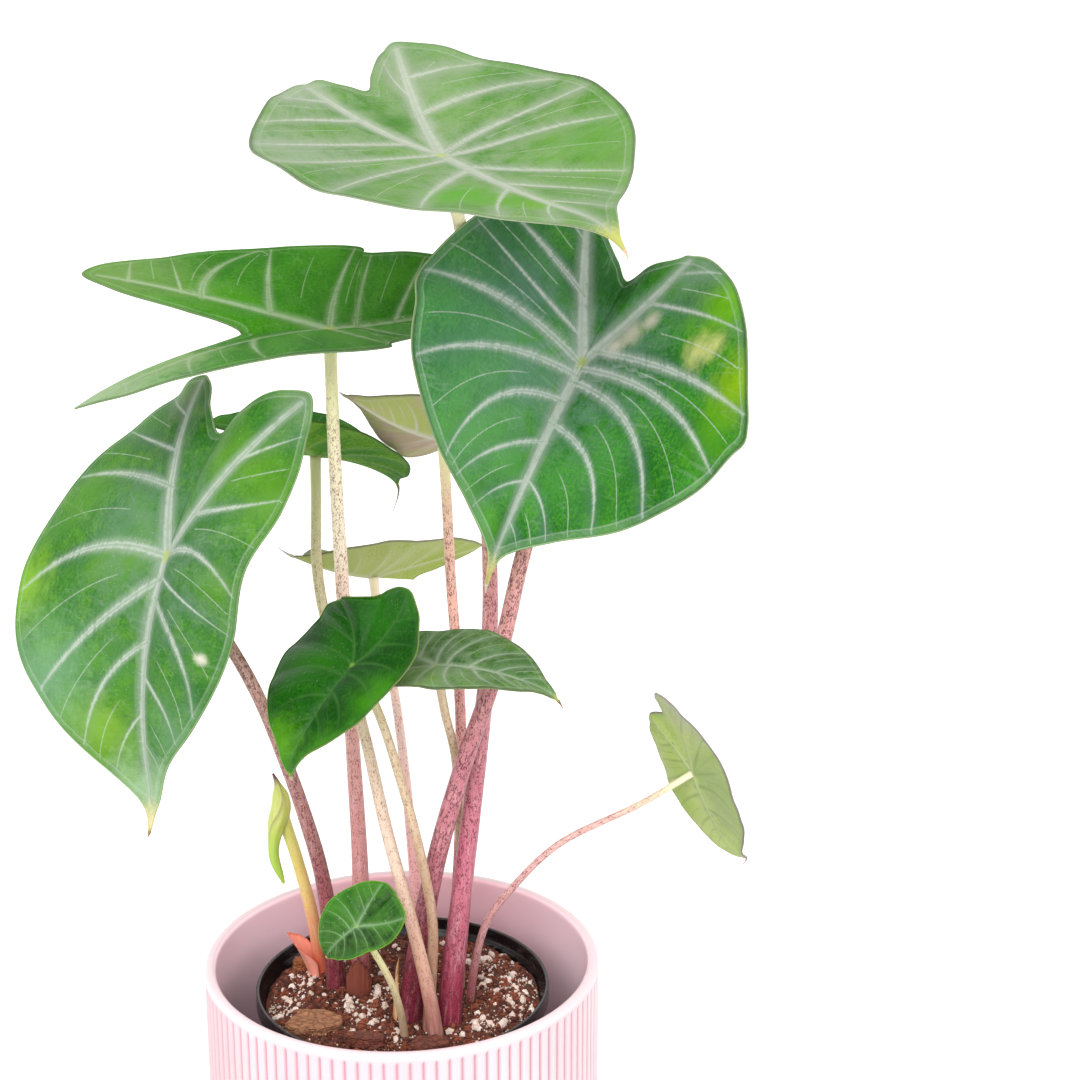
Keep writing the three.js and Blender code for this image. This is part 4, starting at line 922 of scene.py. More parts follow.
    # the underside
    under_color = f.mix(f.fade(mixed, 0.35, 0.65), paint("under"), paint("under_dark"))
    under_lines = f.larger(lines, f.times(thin_lines, 0.6))
    under_color = patched(under_color, look["under_spots"])
    under_color = f.laid(under_color, under_lines, 0.8, paint("under_vein"))
    under_color = f.laid(under_color, f.fade(rib_share, 1.5, 0.4), 0.7, paint("under_rib"))
    color = f.mix(f.fade(under, 0.3, 0.7), color, under_color)
    # margin, joint and drip tip
    joint_reach, tip_reach, edge_width = look["joint_reach"], look["tip_reach"], look["edge_width"]
    dark_line = f.fade(f.absolute(f.minus(edge, edge_width + 0.35)), 0.4, 0.1)
    color = f.laid(color, dark_line, 0.22, paint("line"))
    color = f.mix(f.fade(edge, edge_width, edge_width * 0.5), color, paint("edge"))
    at_joint = f.fade(f.plus(reach, f.times(feather, 2)), joint_reach, joint_reach * 0.2)
    color = f.laid(color, at_joint, 0.8, paint("joint"))
    tip_noise = f.times(f.minus(grain, 0.5), tip_reach * 1.2)
    at_tip = f.fade(f.plus(tip, tip_noise), tip_reach, tip_reach * 0.35)
    color = f.mix(at_tip, color, paint("tip"))
    color = f.mix(f.fade(tip, tip_reach * 0.2, -1), color, paint("tip_end"))
    roughness = f.between(f.plus(f.times(grain, 0.6), f.times(lines, 0.4)), look["rough"] - 0.06,
                          look["rough"] + 0.14)
    pores = f.cells(flat, 2.2)
    height = f.plus(f.times(pores, 0.35), f.times(minor_line, -0.6))
    height = f.plus(height, f.times(f.fade(net, 0.12, 0), -0.5))
    dust = f.times(f.fade(f.cells(flat, 0.85), 0.13, 0.06), f.fade(patches, 0.5, 0.6))
    color = f.laid(color, dust, 0.55, tone("e8ece4"))
    return f.finish(color, roughness, height, depth=0.00012, strength=0.6, Subsurface_Weight=0.05,
                    Subsurface_Scale=0.0012, Specular_IOR_Level=look["shine"])


# %% Make the blades
for name in BLADES:
    make_blade(name, leaf_finish(name))

# %% [markdown]
# ## The stalks
# Each stalk is a solid round stem, thin under its blade and thicker at the foot, straight for most of its
# way and gently bent. It could be a Blender curve with a bevel, but then its speckles would have nothing
# to follow. Here it is a tube on a smooth path: a ring of points is carried along the path, and every
# point also stores where it would be if the stalk were straightened, so that the speckles stretch along
# the stalk whichever way it leans. The topmost rings are pressed flat against the blade's underside.

# %% Values of the stalks
STALKS = {  # points on the way down from the joint, the foot's place, and the radius there and on top
    "top": (
        [(24, -7, 385), (30, -2, 320), (32, 2, 250), (28, -1, 205), (21, -12, 148)], (17, -17), (4.6, 2.1)),
    "right": (
        [(54, -3, 312), (44, -6, 279), (34, -8, 236), (22, -11, 200), (11, -12, 158)], (3, -13), (4.6, 2.4)),
    "left_flat": ([(-20, 7, 311), (-19, 13, 258), (-17, 12, 204), (-15, 8, 150)], (-16, 5), (3.6, 2.1)),
    "left_big": (
        [(-62, -27, 268), (-46.8, -21, 236), (-37.3, -12, 203), (-31.4, -6.5, 178), (-28, -1, 158),
         (-25.8, 3.5, 135)], (-25, 9), (3.7, 2.0)),
    "arched": (
        [(-29, 30, 283), (-28, 17, 265), (-24, 6, 248), (-17, 0, 232), (-11, -4, 210), (-4, -12, 180),
         (5, -22, 148), (10, -26, 127)], (13, -28), (2.8, 1.8)),
    "centre": ([(-5, -31, 232), (3, -26, 201), (9, -22, 171), (12, -20, 146)], (10, -21), (2.2, 1.5)),
    "behind_centre": ([(17, -17, 225), (20, -2, 200), (21, 5, 150)], (20, 9), (2.0, 1.5)),
    "far_pale": ([(17, 20, 288), (18, 19, 262), (21, 18, 208), (20, 16, 155)], (17, 17), (2.5, 1.8)),
    "far_low": ([(-10, 46, 243), (-3.5, 38, 210), (1.6, 27, 168)], (6, 13), (2.6, 1.6)),
    "side": ([(84, -10, 188), (56, -8, 172), (41, -6, 156), (30, -4, 139)], (24, -2), (1.7, 1.1)),
    "low_round": ([(-7, -41, 148), (-1, -34, 130)], (2, -27), (1.7, 1.1)),
    "young": ([(-37, 7, 158), (-33, 11, 135)], (-31, 17), (2.6, 2.1)),
}
YOUNG_JOINT = (-41.4, 2.4, 178.5)
MIX_TOP = 108
HOLE_DEPTH = 13
STALK_SIDES = 24
STALK_STEPS = 150

# %% A tube on a smooth path


def even_path(points, steps):
    """A smooth curve through the points, at equal steps of its length, and its whole length."""
    points = np.array(points, dtype=float)
    whole = np.vstack([2 * points[0] - points[1], points, 2 * points[-1] - points[-2]])
    fine = smooth_path(whole, np.linspace(0, len(points) - 1, 4000))
    length = np.append(0, np.cumsum(np.linalg.norm(np.diff(fine, axis=0), axis=1)))
    wanted = np.linspace(0, length[-1], steps)
    return np.stack([np.interp(wanted, length, fine[:, k]) for k in range(3)], axis=1), wanted


def stalk_path(name, steps=STALK_STEPS):
    via, foot, _ = STALKS[name]
    joint = YOUNG_JOINT if name == "young" else BLADES[name]["joint"]
    return even_path([joint, *via, (*foot, MIX_TOP), (*foot, MIX_TOP - HOLE_DEPTH)], steps)


def rings(path, radius):
    """Rings of points round a path, each starting on the side that faces along Y."""
    forward = unit(np.gradient(path, axis=0))
    first = unit(np.array([0.0, 1.0, 0.0]) - forward[:, 1:2] * forward)
    return circles(path, radius, first, np.cross(forward, first), radius.shape[1])


def straightened(radius, along):
    """Where a tube's points and its two ends would be if it were straight and hung down, in metres."""
    angle = round_angles(radius.shape[1])
    straight = np.stack(np.broadcast_arrays(
        np.cos(angle) * radius, np.sin(angle) * radius, -along[:, None]), axis=-1) * MM
    return np.vstack([straight.reshape(-1, 3), straight[[0, -1], 0]])


def make_stalk(name, material):
    path, along = stalk_path(name)
    foot_radius, top_radius = STALKS[name][2]
    share = along / along[-1]
    radius = top_radius + (foot_radius - top_radius) * (0.45 * share + 0.55 * share**4)
    radius *= 1 + 0.18 * np.exp(-along / 5)
    angle = round_angles(STALK_SIDES)
    ridges = 0.012 * np.sin(9 * angle) + 0.01 * np.sin(5 * angle + 1)
    swell = 0.012 * np.sin(along / 17 + len(name)) + 0.008 * np.sin(along / 6.1)
    radius = radius[:, None] * (1 + ridges + swell[:, None])
    points = rings(path, radius)
    if name != "young":
        blade = BLADES[name]
        _, left, normal = blade_axes(blade)
        offset = points - blade["joint"]
        across = offset @ left
        folded = np.where(across > 0, *np.radians(blade["fold"]))
        top = np.abs(across) * np.tan(folded) - 0.1
        over = np.maximum(0, offset @ normal - top) * (along < 12)[:, None]
        points = points - over[..., None] * normal
    whole, faces = closed_tube(points, points[[0, -1]].mean(axis=1))
    values = {"straight": straightened(radius, along), "height": whole[:, 2] - MIX_TOP}
    return piece(f"stem_{name}", whole, faces, material, [f"stalk_{name}"], values)


# %% [markdown]
# ## The stalks' colour
# A stalk is pale yellow-green or cream under its blade, turns beige and then pink further down, and is
# dark magenta where it enters the mix. Small, lengthwise, maroon specks cover it, dense on the old stalks
# and sparse on the young ones. The colours follow the distance down the stalk, and the specks are stretched
# cells on the straightened stalk.

# %% Colours of each stalk
STALK_LOOKS = {  # colours from the top down with where they sit (share of the height), specks, how dense
    "top": (
        ((1, "e0dab0"), (0.66, "cc9c90"), (0.42, "bc8084"), (0.2, "ac5c6e"), (0, "8c2c44")), "5e1a2c", 0.78),
    "right": (((1, "cbcf9c"), (0.85, "c8968c"), (0.35, "b06c76"), (0, "84283e")), "501824", 0.9),
    "left_flat": (
        ((1, "f4efbc"), (0.72, "f0e4cc"), (0.5, "d8aca2"), (0.25, "c48a8a"), (0, "96484e")), "8c5652", 0.7),
    "left_big": (
        ((1, "c0a48c"), (0.75, "a88478"), (0.45, "9c6c68"), (0.2, "94545a"), (0, "843644")), "542424", 0.88),
    "arched": (
        ((1, "ccca9c"), (0.7, "cabc9c"), (0.35, "d0b8a6"), (0.15, "c09480"), (0, "98605a")), "8c6450", 0.6),
    "centre": (((1, "b8ac84"), (0.6, "b8a084"), (0.3, "ab8a70"), (0, "905c4c")), "80604a", 0.66),
    "behind_centre": (((1, "bca88a"), (0.5, "b8a084"), (0.2, "b09078"), (0, "a87470")), "7c5a4a", 0.68),
    "far_pale": (
        ((1, "dcd6a6"), (0.88, "dcb8a0"), (0.76, "d8a898"), (0.4, "cc8c8c"), (0, "b4646e")), "6c3636", 0.78),
    "far_low": (((1, "dcd0b4"), (0.6, "e4c6be"), (0.3, "dca4a4"), (0, "c88488")), "8c5450", 0.55),
    "side": (
        ((1, "ccccaa"), (0.9, "c8b49c"), (0.78, "c49e98"), (0.3, "bc8c8c"), (0, "a8606a")), "804440", 0.74),
    "low_round": (((1, "c4ca8a"), (0.5, "ccc296"), (0, "a88c74")), "84704f", 0.5),
    "young": (((1, "c6ca68"), (0.6, "d6be70"), (0.3, "dc9c72"), (0, "d4604a")), "b06048", 0.3),
}
STALK_LIGHT = 1.0  # the light level on the stalks, which stand in the leaves' shade

# %% The stalk finish


def stalk_finish(name):
    stops, speck, dense = STALK_LOOKS[name]
    f = Finish(f"stem_{name}")
    straight, height = f.vector("straight"), f.value("height")
    joint = YOUNG_JOINT if name == "young" else BLADES[name]["joint"]
    mottle = f.noise(f.scaled(straight, (1, 1, 0.3)), 260, 4, 0.6)
    shading = f.noise(f.scaled(straight, (1, 1, 0.12)), 900, 3)
    share = f.over(height, joint[2] - MIX_TOP)
    share = f.plus(share, f.times(f.minus(mottle, 0.5), 0.16))
    color = tone(stops[0][1], STALK_LIGHT)
    for (above, _), (below, code) in zip(stops, stops[1:]):
        color = f.mix(f.fade(share, above, below), color, tone(code, STALK_LIGHT))
    paler = f.mix(0.5, color, tone("f2e6dc", STALK_LIGHT))
    color = f.laid(color, f.fade(shading, 0.45, 0.75), 0.3, paler)
    long_cells = f.cells(f.scaled(straight, (1, 1, 0.42)), 2100)
    small_cells = f.cells(f.scaled(straight, (1, 1, 0.6)), 3200)
    clumps = f.noise(f.scaled(straight, (1, 1, 0.5)), 900, 2)
    size = f.times(f.fade(clumps, 0.2, 0.7), dense)
    large = f.fade(f.minus(long_cells, f.times(size, 0.54)), 0.12, 0.0)
    small = f.fade(f.minus(small_cells, f.times(size, 0.5)), 0.12, 0.0)
    specks = f.larger(large, f.times(small, 0.8))
    fewer = f.fade(share, 1.02, 0.8)
    color = f.laid(color, specks, f.times(fewer, 0.85), tone(speck, STALK_LIGHT))
    roughness = f.between(mottle, 0.34, 0.52)
    lengthwise = f.noise(f.scaled(straight, (1, 1, 0.05)), 1800, 2)
    return f.finish(color, roughness, lengthwise, depth=0.0001, strength=0.5, Subsurface_Weight=0.1,
                    Subsurface_Scale=0.0015, Specular_IOR_Level=0.4)


# %% Make the stalks
for name in STALKS:
    make_stalk(name, stalk_finish(name))

# %% [markdown]
# ## The young leaf
# The newest leaf is still rolled on itself like a slim horn and hangs beside its stalk, with a purple
# point on top. Its outer margin winds round it as one low step. It could be a sheet rolled by a modifier,
# but its inside never shows, so it is a tube whose radius grows a little on the way round and falls back
# at the margin, where the step winds along the horn.

# %% Shape of the young leaf
YOUNG_PATH = [
    (-44, 2, 194), (-42.6, 2, 190), (-41.6, 2, 182), (-43.6, 1, 174), (-44.5, 0, 164), (-41.3, -1, 153.5)]
YOUNG_RADII = [0.35, 1.1, 2.9, 3.5, 3.6, 3.0, 2.3, 1.9, 1.7, 1.3, 0.5]
YOUNG_STEPS, YOUNG_SIDES = 140, 72
STEP_HEIGHT = 0.16  # of the radius


def make_young_leaf(material):
    """Radius times 1 + step height times (how far round since the margin - 1/2), with a quick fall back."""
    path, along = even_path(YOUNG_PATH, YOUNG_STEPS)
    share = along / along[-1]
    radius = np.interp(share * 10, np.arange(11), YOUNG_RADII)
    kernel = np.hanning(13) / np.hanning(13).sum()
    radius = np.convolve(np.pad(radius, 6, mode="edge"), kernel, "valid")
    angle = round_angles(YOUNG_SIDES)
    since = ((angle[None, :] - 2.2 - 3.4 * share[:, None]) / (2 * np.pi)) % 1
    step = np.minimum(since, (1 - since) * 14) - 0.45
    ribs = 0.02 * np.cos(7 * angle[None, :] - 3 * share[:, None])
    radius = radius[:, None] * (1 + STEP_HEIGHT * step + ribs)
    whole, faces = closed_tube(rings(path, radius), path[[0, -1]])
    values = {"straight": straightened(radius, along),
              "down": np.append(np.repeat(along, YOUNG_SIDES), along[[0, -1]]),
              "seam": np.append(since.ravel(), [0.5, 0.5])}
    return piece("rolled_leaf", whole, faces, material, ["young_leaf"], values)


# %% The young leaf's finish


def young_finish():
    f = Finish("rolled_leaf")
    straight, down, seam = f.vector("straight"), f.value("down"), f.value("seam")
    streaks = f.noise(f.scaled(straight, (1, 1, 0.12)), 900, 3)
    color = f.mix(f.fade(streaks, 0.35, 0.65), tone("ccd65c", 1.45), tone("dadf88", 1.45))
    color = f.mix(f.fade(down, 12, 34), color, tone("acce4a", 1.5))
    color = f.laid(color, f.fade(seam, 0.9, 0.99), 0.7, tone("a89a5c"))
    color = f.mix(f.fade(f.plus(down, f.times(streaks, 4)), 8, 3), color, tone("7c4a48"))
    return f.finish(color, f.between(streaks, 0.34, 0.5), streaks, depth=0.0002, strength=0.5,
                    Subsurface_Weight=0.12, Subsurface_Scale=0.002)


make_young_leaf(young_finish())

# %% [markdown]
# ## The sheaths
# Where a stalk leaves the mix, the remains of an older leaf base wrap it: one salmon pink and fresh,
# flaring to a dark point, and two thin, dry and brown ones. Each is a sheet on an arc about its stalk,
# higher in the middle than at its sides, with a wavy edge, given a thickness by offsetting it both ways.

# %% Shape of the sheaths
SHEATHS = {  # stalk, facing, arc, height, flare and how ragged
    "salmon_sheath": ("young", 180, 170, 19, 7.0, 0.25),
    "dry_sheath": ("left_flat", 265, 150, 15, 1.2, 1.0),
    "thin_sheath": ("right", 185, 70, 22, 1.0, 1.0),
}
SHEATH_ACROSS, SHEATH_UP = 45, 45
SHEATH_HALF_THICK = 0.22
SHEATH_SUNK = 5  # how far its foot goes down into the mix


def make_sheath(name, material):
    """Height over the mix falls from the middle to the sides as |x| to the 1.3; the reach from the stalk
    grows upward as share to the 1.6, most in the middle."""
    stalk, facing, arc, height, flare, rough = SHEATHS[name]
    path, _ = stalk_path(stalk, 400)
    across = np.linspace(-1, 1, SHEATH_ACROSS)[None, :]
    share = np.linspace(0, 1, SHEATH_UP)[:, None]
    angle = np.radians(facing) + across * np.radians(arc) / 2
    radius = STALKS[stalk][2][0] + 1.0
    crinkle = 0.25 * np.sin(9 * across + 4 * share) * share + 0.12 * np.sin(23 * across) * share
    reach = radius + flare * share**1.6 * (1 - np.abs(across)) + crinkle
    ragged = 1 + rough * (0.05 * np.sin(31 * across) + 0.04 * np.sin(13 * across + 1))
    peak = (1 - 0.65 * np.abs(across) ** 1.3) * ragged
    z = MIX_TOP - SHEATH_SUNK + (height * peak + SHEATH_SUNK) * share
    centre = [np.interp(z, path[::-1, 2], path[::-1, k]) for k in (0, 1)]
    sheet = np.stack([centre[0] + reach * np.cos(angle), centre[1] + reach * np.sin(angle), z], axis=-1)
    ids = np.arange(sheet[..., 0].size).reshape(SHEATH_UP, SHEATH_ACROSS)
    sheet = sheet.reshape(-1, 3)
    quads = grid_faces(ids)[:, ::-1]
    normal = point_normals(sheet, quads)
    thick = SHEATH_HALF_THICK * (1.1 - 0.6 * np.repeat(share.ravel(), SHEATH_ACROSS))[:, None]
    count = len(sheet)
    loop = np.concatenate([ids[0, :-1], ids[:-1, -1], ids[-1, :0:-1], ids[:0:-1, 0]])
    rim = grid_faces(np.stack([loop, loop + count], axis=1), closed=True)
    faces = np.vstack([quads, quads[:, ::-1] + count, rim[:, ::-1]])
    upward = np.tile(np.repeat(share.ravel(), SHEATH_ACROSS), 2)
    side = np.tile(np.tile(np.abs(across.ravel()), SHEATH_UP), 2)
    points = np.vstack([sheet + normal * thick, sheet - normal * thick])
    return piece(name + "_skin", points, (faces, NO_TRIANGLES), material, [name],
                 {"upward": upward, "side": side, "round": np.tile(angle.repeat(SHEATH_UP, 0).ravel(), 2)})


# %% The sheaths' finish
SHEATH_COLORS = {  # foot, middle, edge
    "salmon_sheath": ("e07c64", "e89480", "c45c4c"),
    "dry_sheath": ("4f2018", "743a2c", "38150e"),
    "thin_sheath": ("a06a48", "cfa474", "8f6a46"),
}
SHEATH_LIGHT = 0.8  # the light level down between the stalks


def sheath_finish(name):
    foot, middle, edge = (tone(code, SHEATH_LIGHT) for code in SHEATH_COLORS[name])
    f = Finish(name)
    upward, side, around = f.value("upward"), f.value("side"), f.value("round")
    fibre = f.add("CombineXYZ", {0: around, 1: f.times(upward, 0.15)})
    streaks = f.noise(fibre, 16, 4, 0.6)
    color = f.mix(f.fade(f.plus(upward, f.times(streaks, 0.4)), 0.2, 0.8), foot, middle)
    color = f.laid(color, f.fade(streaks, 0.5, 0.75), 0.5, edge)
    color = f.mix(f.fade(f.larger(upward, side), 0.93, 1.0), color, edge)
    return f.finish(color, f.between(streaks, 0.5, 0.75), streaks, depth=0.0003, strength=0.6,
                    Subsurface_Weight=0.1, Subsurface_Scale=0.001)


for name in SHEATHS:
    make_sheath(name, sheath_finish(name))

# %% [markdown]
# ## The cover pot
# The cover pot is glazed ceramic, turned round with a smooth rounded lip, and its outside carries a
# hundred fine upright flutes. The ridges are almost white and the narrow grooves pink. The flutes could be
# a boolean array of cutters, or only bump, but they show on the outline, so they are in the turned
# surface itself: the profile's radius is lowered in each groove, and the grooves run out near the lip and
# the foot.

# %% Shape of the cover pot
FLUTES = 100
FLUTE_DEPTH = 0.85
PER_FLUTE = 10
POT_RADIUS, POT_HEIGHT, POT_WALL, POT_FLOOR = 70.0, 125.0, 4.0, 6.0
POLE = 0.01  # the radius of the points that are merged on the axis
FIRST_INSIDE = 42  # from this row on, the profile runs down the inside


def arc_points(centre, radius, start, end, count):
    angle = np.radians(np.linspace(start, end, count))
    return np.stack([centre[0] + radius * np.cos(angle), centre[1] + radius * np.sin(angle)], axis=1)


def cover_pot_profile():
    """Radius, height and how deep the flutes are, from the middle of the underside round to the floor."""
    wall = np.array([
        2.6, 3.2, 4.0, 5.2, 7, 14, 25, 40, 55, 70, 85, 98, 108, 114, 117, 118.6, 120, 121, 121.7, 122.3])
    fluted = smooth_step((wall - 2.4) / 2.5) * smooth_step((122.6 - wall) / 1.6)
    inner = POT_RADIUS - POT_WALL

    def plain(points):
        return np.column_stack([points, np.zeros(len(points))])

    return np.vstack([
        plain([[POLE, 0], [40, 0], [64, 0]]),
        plain(arc_points((POT_RADIUS - 2.6, 2.5), 2.5, -90, -8, 7)),
        np.column_stack([np.full(len(wall), POT_RADIUS), wall, fluted]),
        plain([[POT_RADIUS, POT_HEIGHT - 2.1]]),
        plain(arc_points((POT_RADIUS - 1.8, POT_HEIGHT - 1.8), 1.8, 10, 90, 8)),
        plain(arc_points((POT_RADIUS - 2.1, POT_HEIGHT - 1.9), 1.9, 100, 172, 7)),
        plain([[inner, height] for height in (POT_HEIGHT - 3.2, 112, 90, 60, 30, POT_FLOOR + 6)]),
        plain(arc_points((inner - 3, POT_FLOOR + 3), 3, 0, -90, 7)),
        plain([[50, POT_FLOOR], [25, POT_FLOOR], [POLE, POT_FLOOR]])])


def make_cover_pot(material):
    """Radius less groove depth times (1 - |cos| to a low power): wide round ridges, narrow grooves."""
    profile = cover_pot_profile()
    angle = round_angles(FLUTES * PER_FLUTE)
    groove = 1 - np.abs(np.cos(FLUTES * angle / 2)) ** 0.55
    depth = profile[None, :, 2] * groove[:, None]
    radius = profile[None, :, 0] - FLUTE_DEPTH * depth
    z = np.broadcast_to(profile[None, :, 1], radius.shape)
    points = np.stack([radius * np.cos(angle)[:, None], radius * np.sin(angle)[:, None], z], axis=-1)
    ids = np.arange(points[..., 0].size).reshape(len(angle), -1)
    ids[:, 0] = ids[0, 0]
    ids[:, -1] = ids[0, -1]
    quads, triangles = without_slivers(grid_faces(ids, closed=True))
    used, faces = np.unique(np.concatenate([quads.ravel(), triangles.ravel()]), return_inverse=True)
    faces = faces.ravel()
    points = points.reshape(-1, 3)[used]
    points[:, :2][np.hypot(points[:, 0], points[:, 1]) < 0.1] = 0
    quads, triangles = faces[:quads.size].reshape(-1, 4), faces[quads.size:].reshape(-1, 3)
    inside = np.broadcast_to((np.arange(len(profile)) >= FIRST_INSIDE)[None, :], radius.shape)
    values = {"groove": depth.ravel()[used], "inside": inside.ravel()[used].astype(float)}
    return piece("fluted_pot", points, (quads, triangles), material, ["cover_pot"], values)


# %% The glaze


def glaze():
    f = Finish("pale_pink_glaze")
    place, groove = f.place(), f.value("groove")
    x, _, z = f.split(place)
    cloud = f.noise(place, 22, 4, 0.6)
    color = f.mix(f.fade(cloud, 0.3, 0.7), tone("fbe0e7", 1.8), tone("fdeaef", 1.72))
    color = f.mix(f.fade(groove, 0.1, 0.85), color, tone("e4a6b4", 1.62))
    # painted shade: the outside turns pinker towards its left side
    painted_left_shade = f.times(f.fade(x, -0.045, -0.066), 0.6)
    color = f.mix(painted_left_shade, color, tone("ecbcc7", 1.95))
    lip = f.fade(z, 0.1222, 0.1236)
    color = f.mix(lip, color, tone("f3d8de", 1.35))
    # painted light inside the pot: deeper down the inner wall takes a colour worked out for less light, and
    # towards its sides a paler pink, standing in for light thrown about inside
    deep = f.fade(z, 0.124, 0.075)
    painted_side_light = f.times(f.fade(f.absolute(x), 0.02, 0.065), 0.85)
    inner = f.mix(deep, tone("eab8c3", 0.9), tone("eaaebb", 0.8))
    inner = f.mix(painted_side_light, inner, tone("fcc8d2", 0.85))
    color = f.mix(f.value("inside"), color, inner)
    specks = f.cells(place, 900)
    color = f.laid(color, f.fade(specks, 0.06, 0.03), 0.35, tone("b98a90"))
    roughness = f.between(f.noise(place, 160, 3), 0.3, 0.46)
    orange_peel = f.noise(place, 420, 2)
    return f.finish(color, roughness, orange_peel, depth=0.0001, strength=0.35, Specular_IOR_Level=0.5,
                    Coat_Weight=0.15, Coat_Roughness=0.25)


make_cover_pot(glaze())

# %% [markdown]
# ## The nursery pot
# Inside stands a plain black grower's pot. Only its rolled rim and the bare inner wall above the mix
# show: glossy moulded plastic with fine rings from the mould and some white dust from the perlite. It is a
# turned profile too, with a rounded lip and a small step under the rim.

# %% Shape of the nursery pot
RIM_RADIUS, RIM_TOP, RIM_BOTTOM, RIM_STEP = 52.3, 114.0, 108.0, 1.6
PLASTIC, POT_FOOT, FOOT_RADIUS = 1.3, 6.3, 43.0
POT_SIDES = 192


def turned(profile, sides):
    """A profile of radius and height turned round the axis, by row and angle."""
    angle = round_angles(sides)
    radius, height = profile[:, :1], profile[:, 1:]
    return np.stack(np.broadcast_arrays(radius * np.cos(angle), radius * np.sin(angle), height), axis=-1)


def nursery_profile():
    shoulder = RIM_RADIUS - RIM_STEP
    inner = RIM_RADIUS - PLASTIC
    return np.vstack([
        [[0, POT_FOOT], [30, POT_FOOT]],
        arc_points((FOOT_RADIUS - 1.5, POT_FOOT + 1.5), 1.5, -90, -6, 6),
        [[shoulder, RIM_BOTTOM - 0.9], [shoulder, RIM_BOTTOM - 0.1], [shoulder + 0.15, RIM_BOTTOM]],
        arc_points((RIM_RADIUS - 0.45, RIM_BOTTOM + 0.45), 0.45, -90, 0, 5),
        [[RIM_RADIUS, RIM_BOTTOM + 3]],
        arc_points((RIM_RADIUS - 0.6, RIM_TOP - 0.6), 0.6, 0, 90, 6),
        arc_points((inner + 0.6, RIM_TOP - 0.6), 0.6, 90, 180, 6),
        [[inner, RIM_TOP - 3], [inner - 0.1, RIM_BOTTOM + 1.2], [shoulder - PLASTIC, RIM_BOTTOM - 0.3]],
        arc_points((FOOT_RADIUS - 3, POT_FOOT + 1.5 + PLASTIC), 1.5, 0, -90, 6),
        [[20, POT_FOOT + PLASTIC], [0, POT_FOOT + PLASTIC]]])


# %% The plastic


def black_plastic():
    f = Finish("black_plastic")
    place = f.place()
    z = f.split(place)[2]
    dust = f.noise(place, 260, 5, 0.75)
    specks = f.cells(f.scaled(place, (1, 1, 0.8)), 1500)
    side = f.fade(f.noise(place, 24, 2), 0.45, 0.65)
    dusty = f.times(f.fade(dust, 0.56, 0.78), side)
    color = f.laid(tone("141317"), dusty, 0.45, tone("8f8680"))
    specks = f.times(f.fade(specks, 0.16, 0.08), f.fade(dust, 0.5, 0.62))
    color = f.mix(specks, color, tone("c9c0ba"))
    rings_up = f.math("SINE", f.times(z, 5200))
    height = f.plus(f.times(rings_up, 0.3), dust)
    return f.finish(color, f.between(dusty, 0.22, 0.7), height, depth=0.00008, strength=0.3,
                    Specular_IOR_Level=0.5)


pot_points = turned(nursery_profile(), POT_SIDES)
whole, faces = closed_tube(pot_points[1:-1], pot_points[[0, -1], 0])
piece("black_pot", whole, faces, black_plastic(), ["nursery_pot"])

# %% [markdown]
# ## The potting mix
# The mix is fine red-brown coir and bark, with white perlite worked up to the top by watering. One
# uneven body carries the large lumps and hollows. Its crumbs, perlite and fibres are separate small
# shapes, each of twenty to eighty faces, scattered over it by a seeded generator and thickest where
# the photograph shows them. Particles or instances would be lighter, but real shapes keep a true shadow
# and go with the model wherever it is used.

# %% The uneven body
MIX_RADIUS = 49.0
MIX_BOTTOM = 8.0
MIX_ROWS, MIX_SIDES = 150, 300


def lattice_noise(x, y, scale, seed):
    """Smooth noise from -1 to 1: random heights on a square lattice, joined by smooth steps."""
    values = np.random.default_rng(seed).uniform(-1, 1, (256, 256))
    i, j = np.floor(x / scale).astype(int), np.floor(y / scale).astype(int)
    s, t = smooth_step(x / scale - i), smooth_step(y / scale - j)

    def corner(a, b):
        return values[(i + a) % 256, (j + b) % 256]

    low = corner(0, 0) * (1 - s) + corner(1, 0) * s
    high = corner(0, 1) * (1 - s) + corner(1, 1) * s
    return low * (1 - t) + high * t


def mix_height(x, y):
    """Height of the mix: octaves of noise about the top, lower at the pot's wall."""
    total = sum(size * lattice_noise(x, y, scale, seed) for size, scale, seed in (
        (0.7, 17, 1), (0.55, 7.3, 2), (0.5, 3.4, 3), (0.36, 1.7, 4), (0.22, 0.9, 5)))
    edge = np.hypot(x, y) / MIX_RADIUS
    return MIX_TOP + total - 0.8 * smooth_step((edge - 0.85) / 0.15)


def make_mix(material):
    """Rows that run out from the middle of the top and on down the side, so its faces are turned over."""
    outward = MIX_RADIUS * np.sqrt(np.linspace(0.00002, 1, MIX_ROWS)) ** 1.15
    top = turned(np.column_stack([outward, np.zeros(MIX_ROWS)]), MIX_SIDES)
    top[..., 2] = mix_height(top[..., 0], top[..., 1])
    lower = turned(np.array([
        [MIX_RADIUS - 0.3, 104.0], [47.5, 90], [44, 40], [40.5, MIX_BOTTOM + 1], [39.5, MIX_BOTTOM],
        [20, MIX_BOTTOM]]), MIX_SIDES)
    middle = [0, 0, float(mix_height(np.zeros(1), np.zeros(1))[0])]
    whole, (quads, fans) = closed_tube(np.concatenate([top, lower]), [middle, [0, 0, MIX_BOTTOM]])
    faces = quads[:, ::-1], fans[:, ::-1]
    return piece("potting_mix", whole, faces, material, ["potting_soil"])


# %% Small lumps


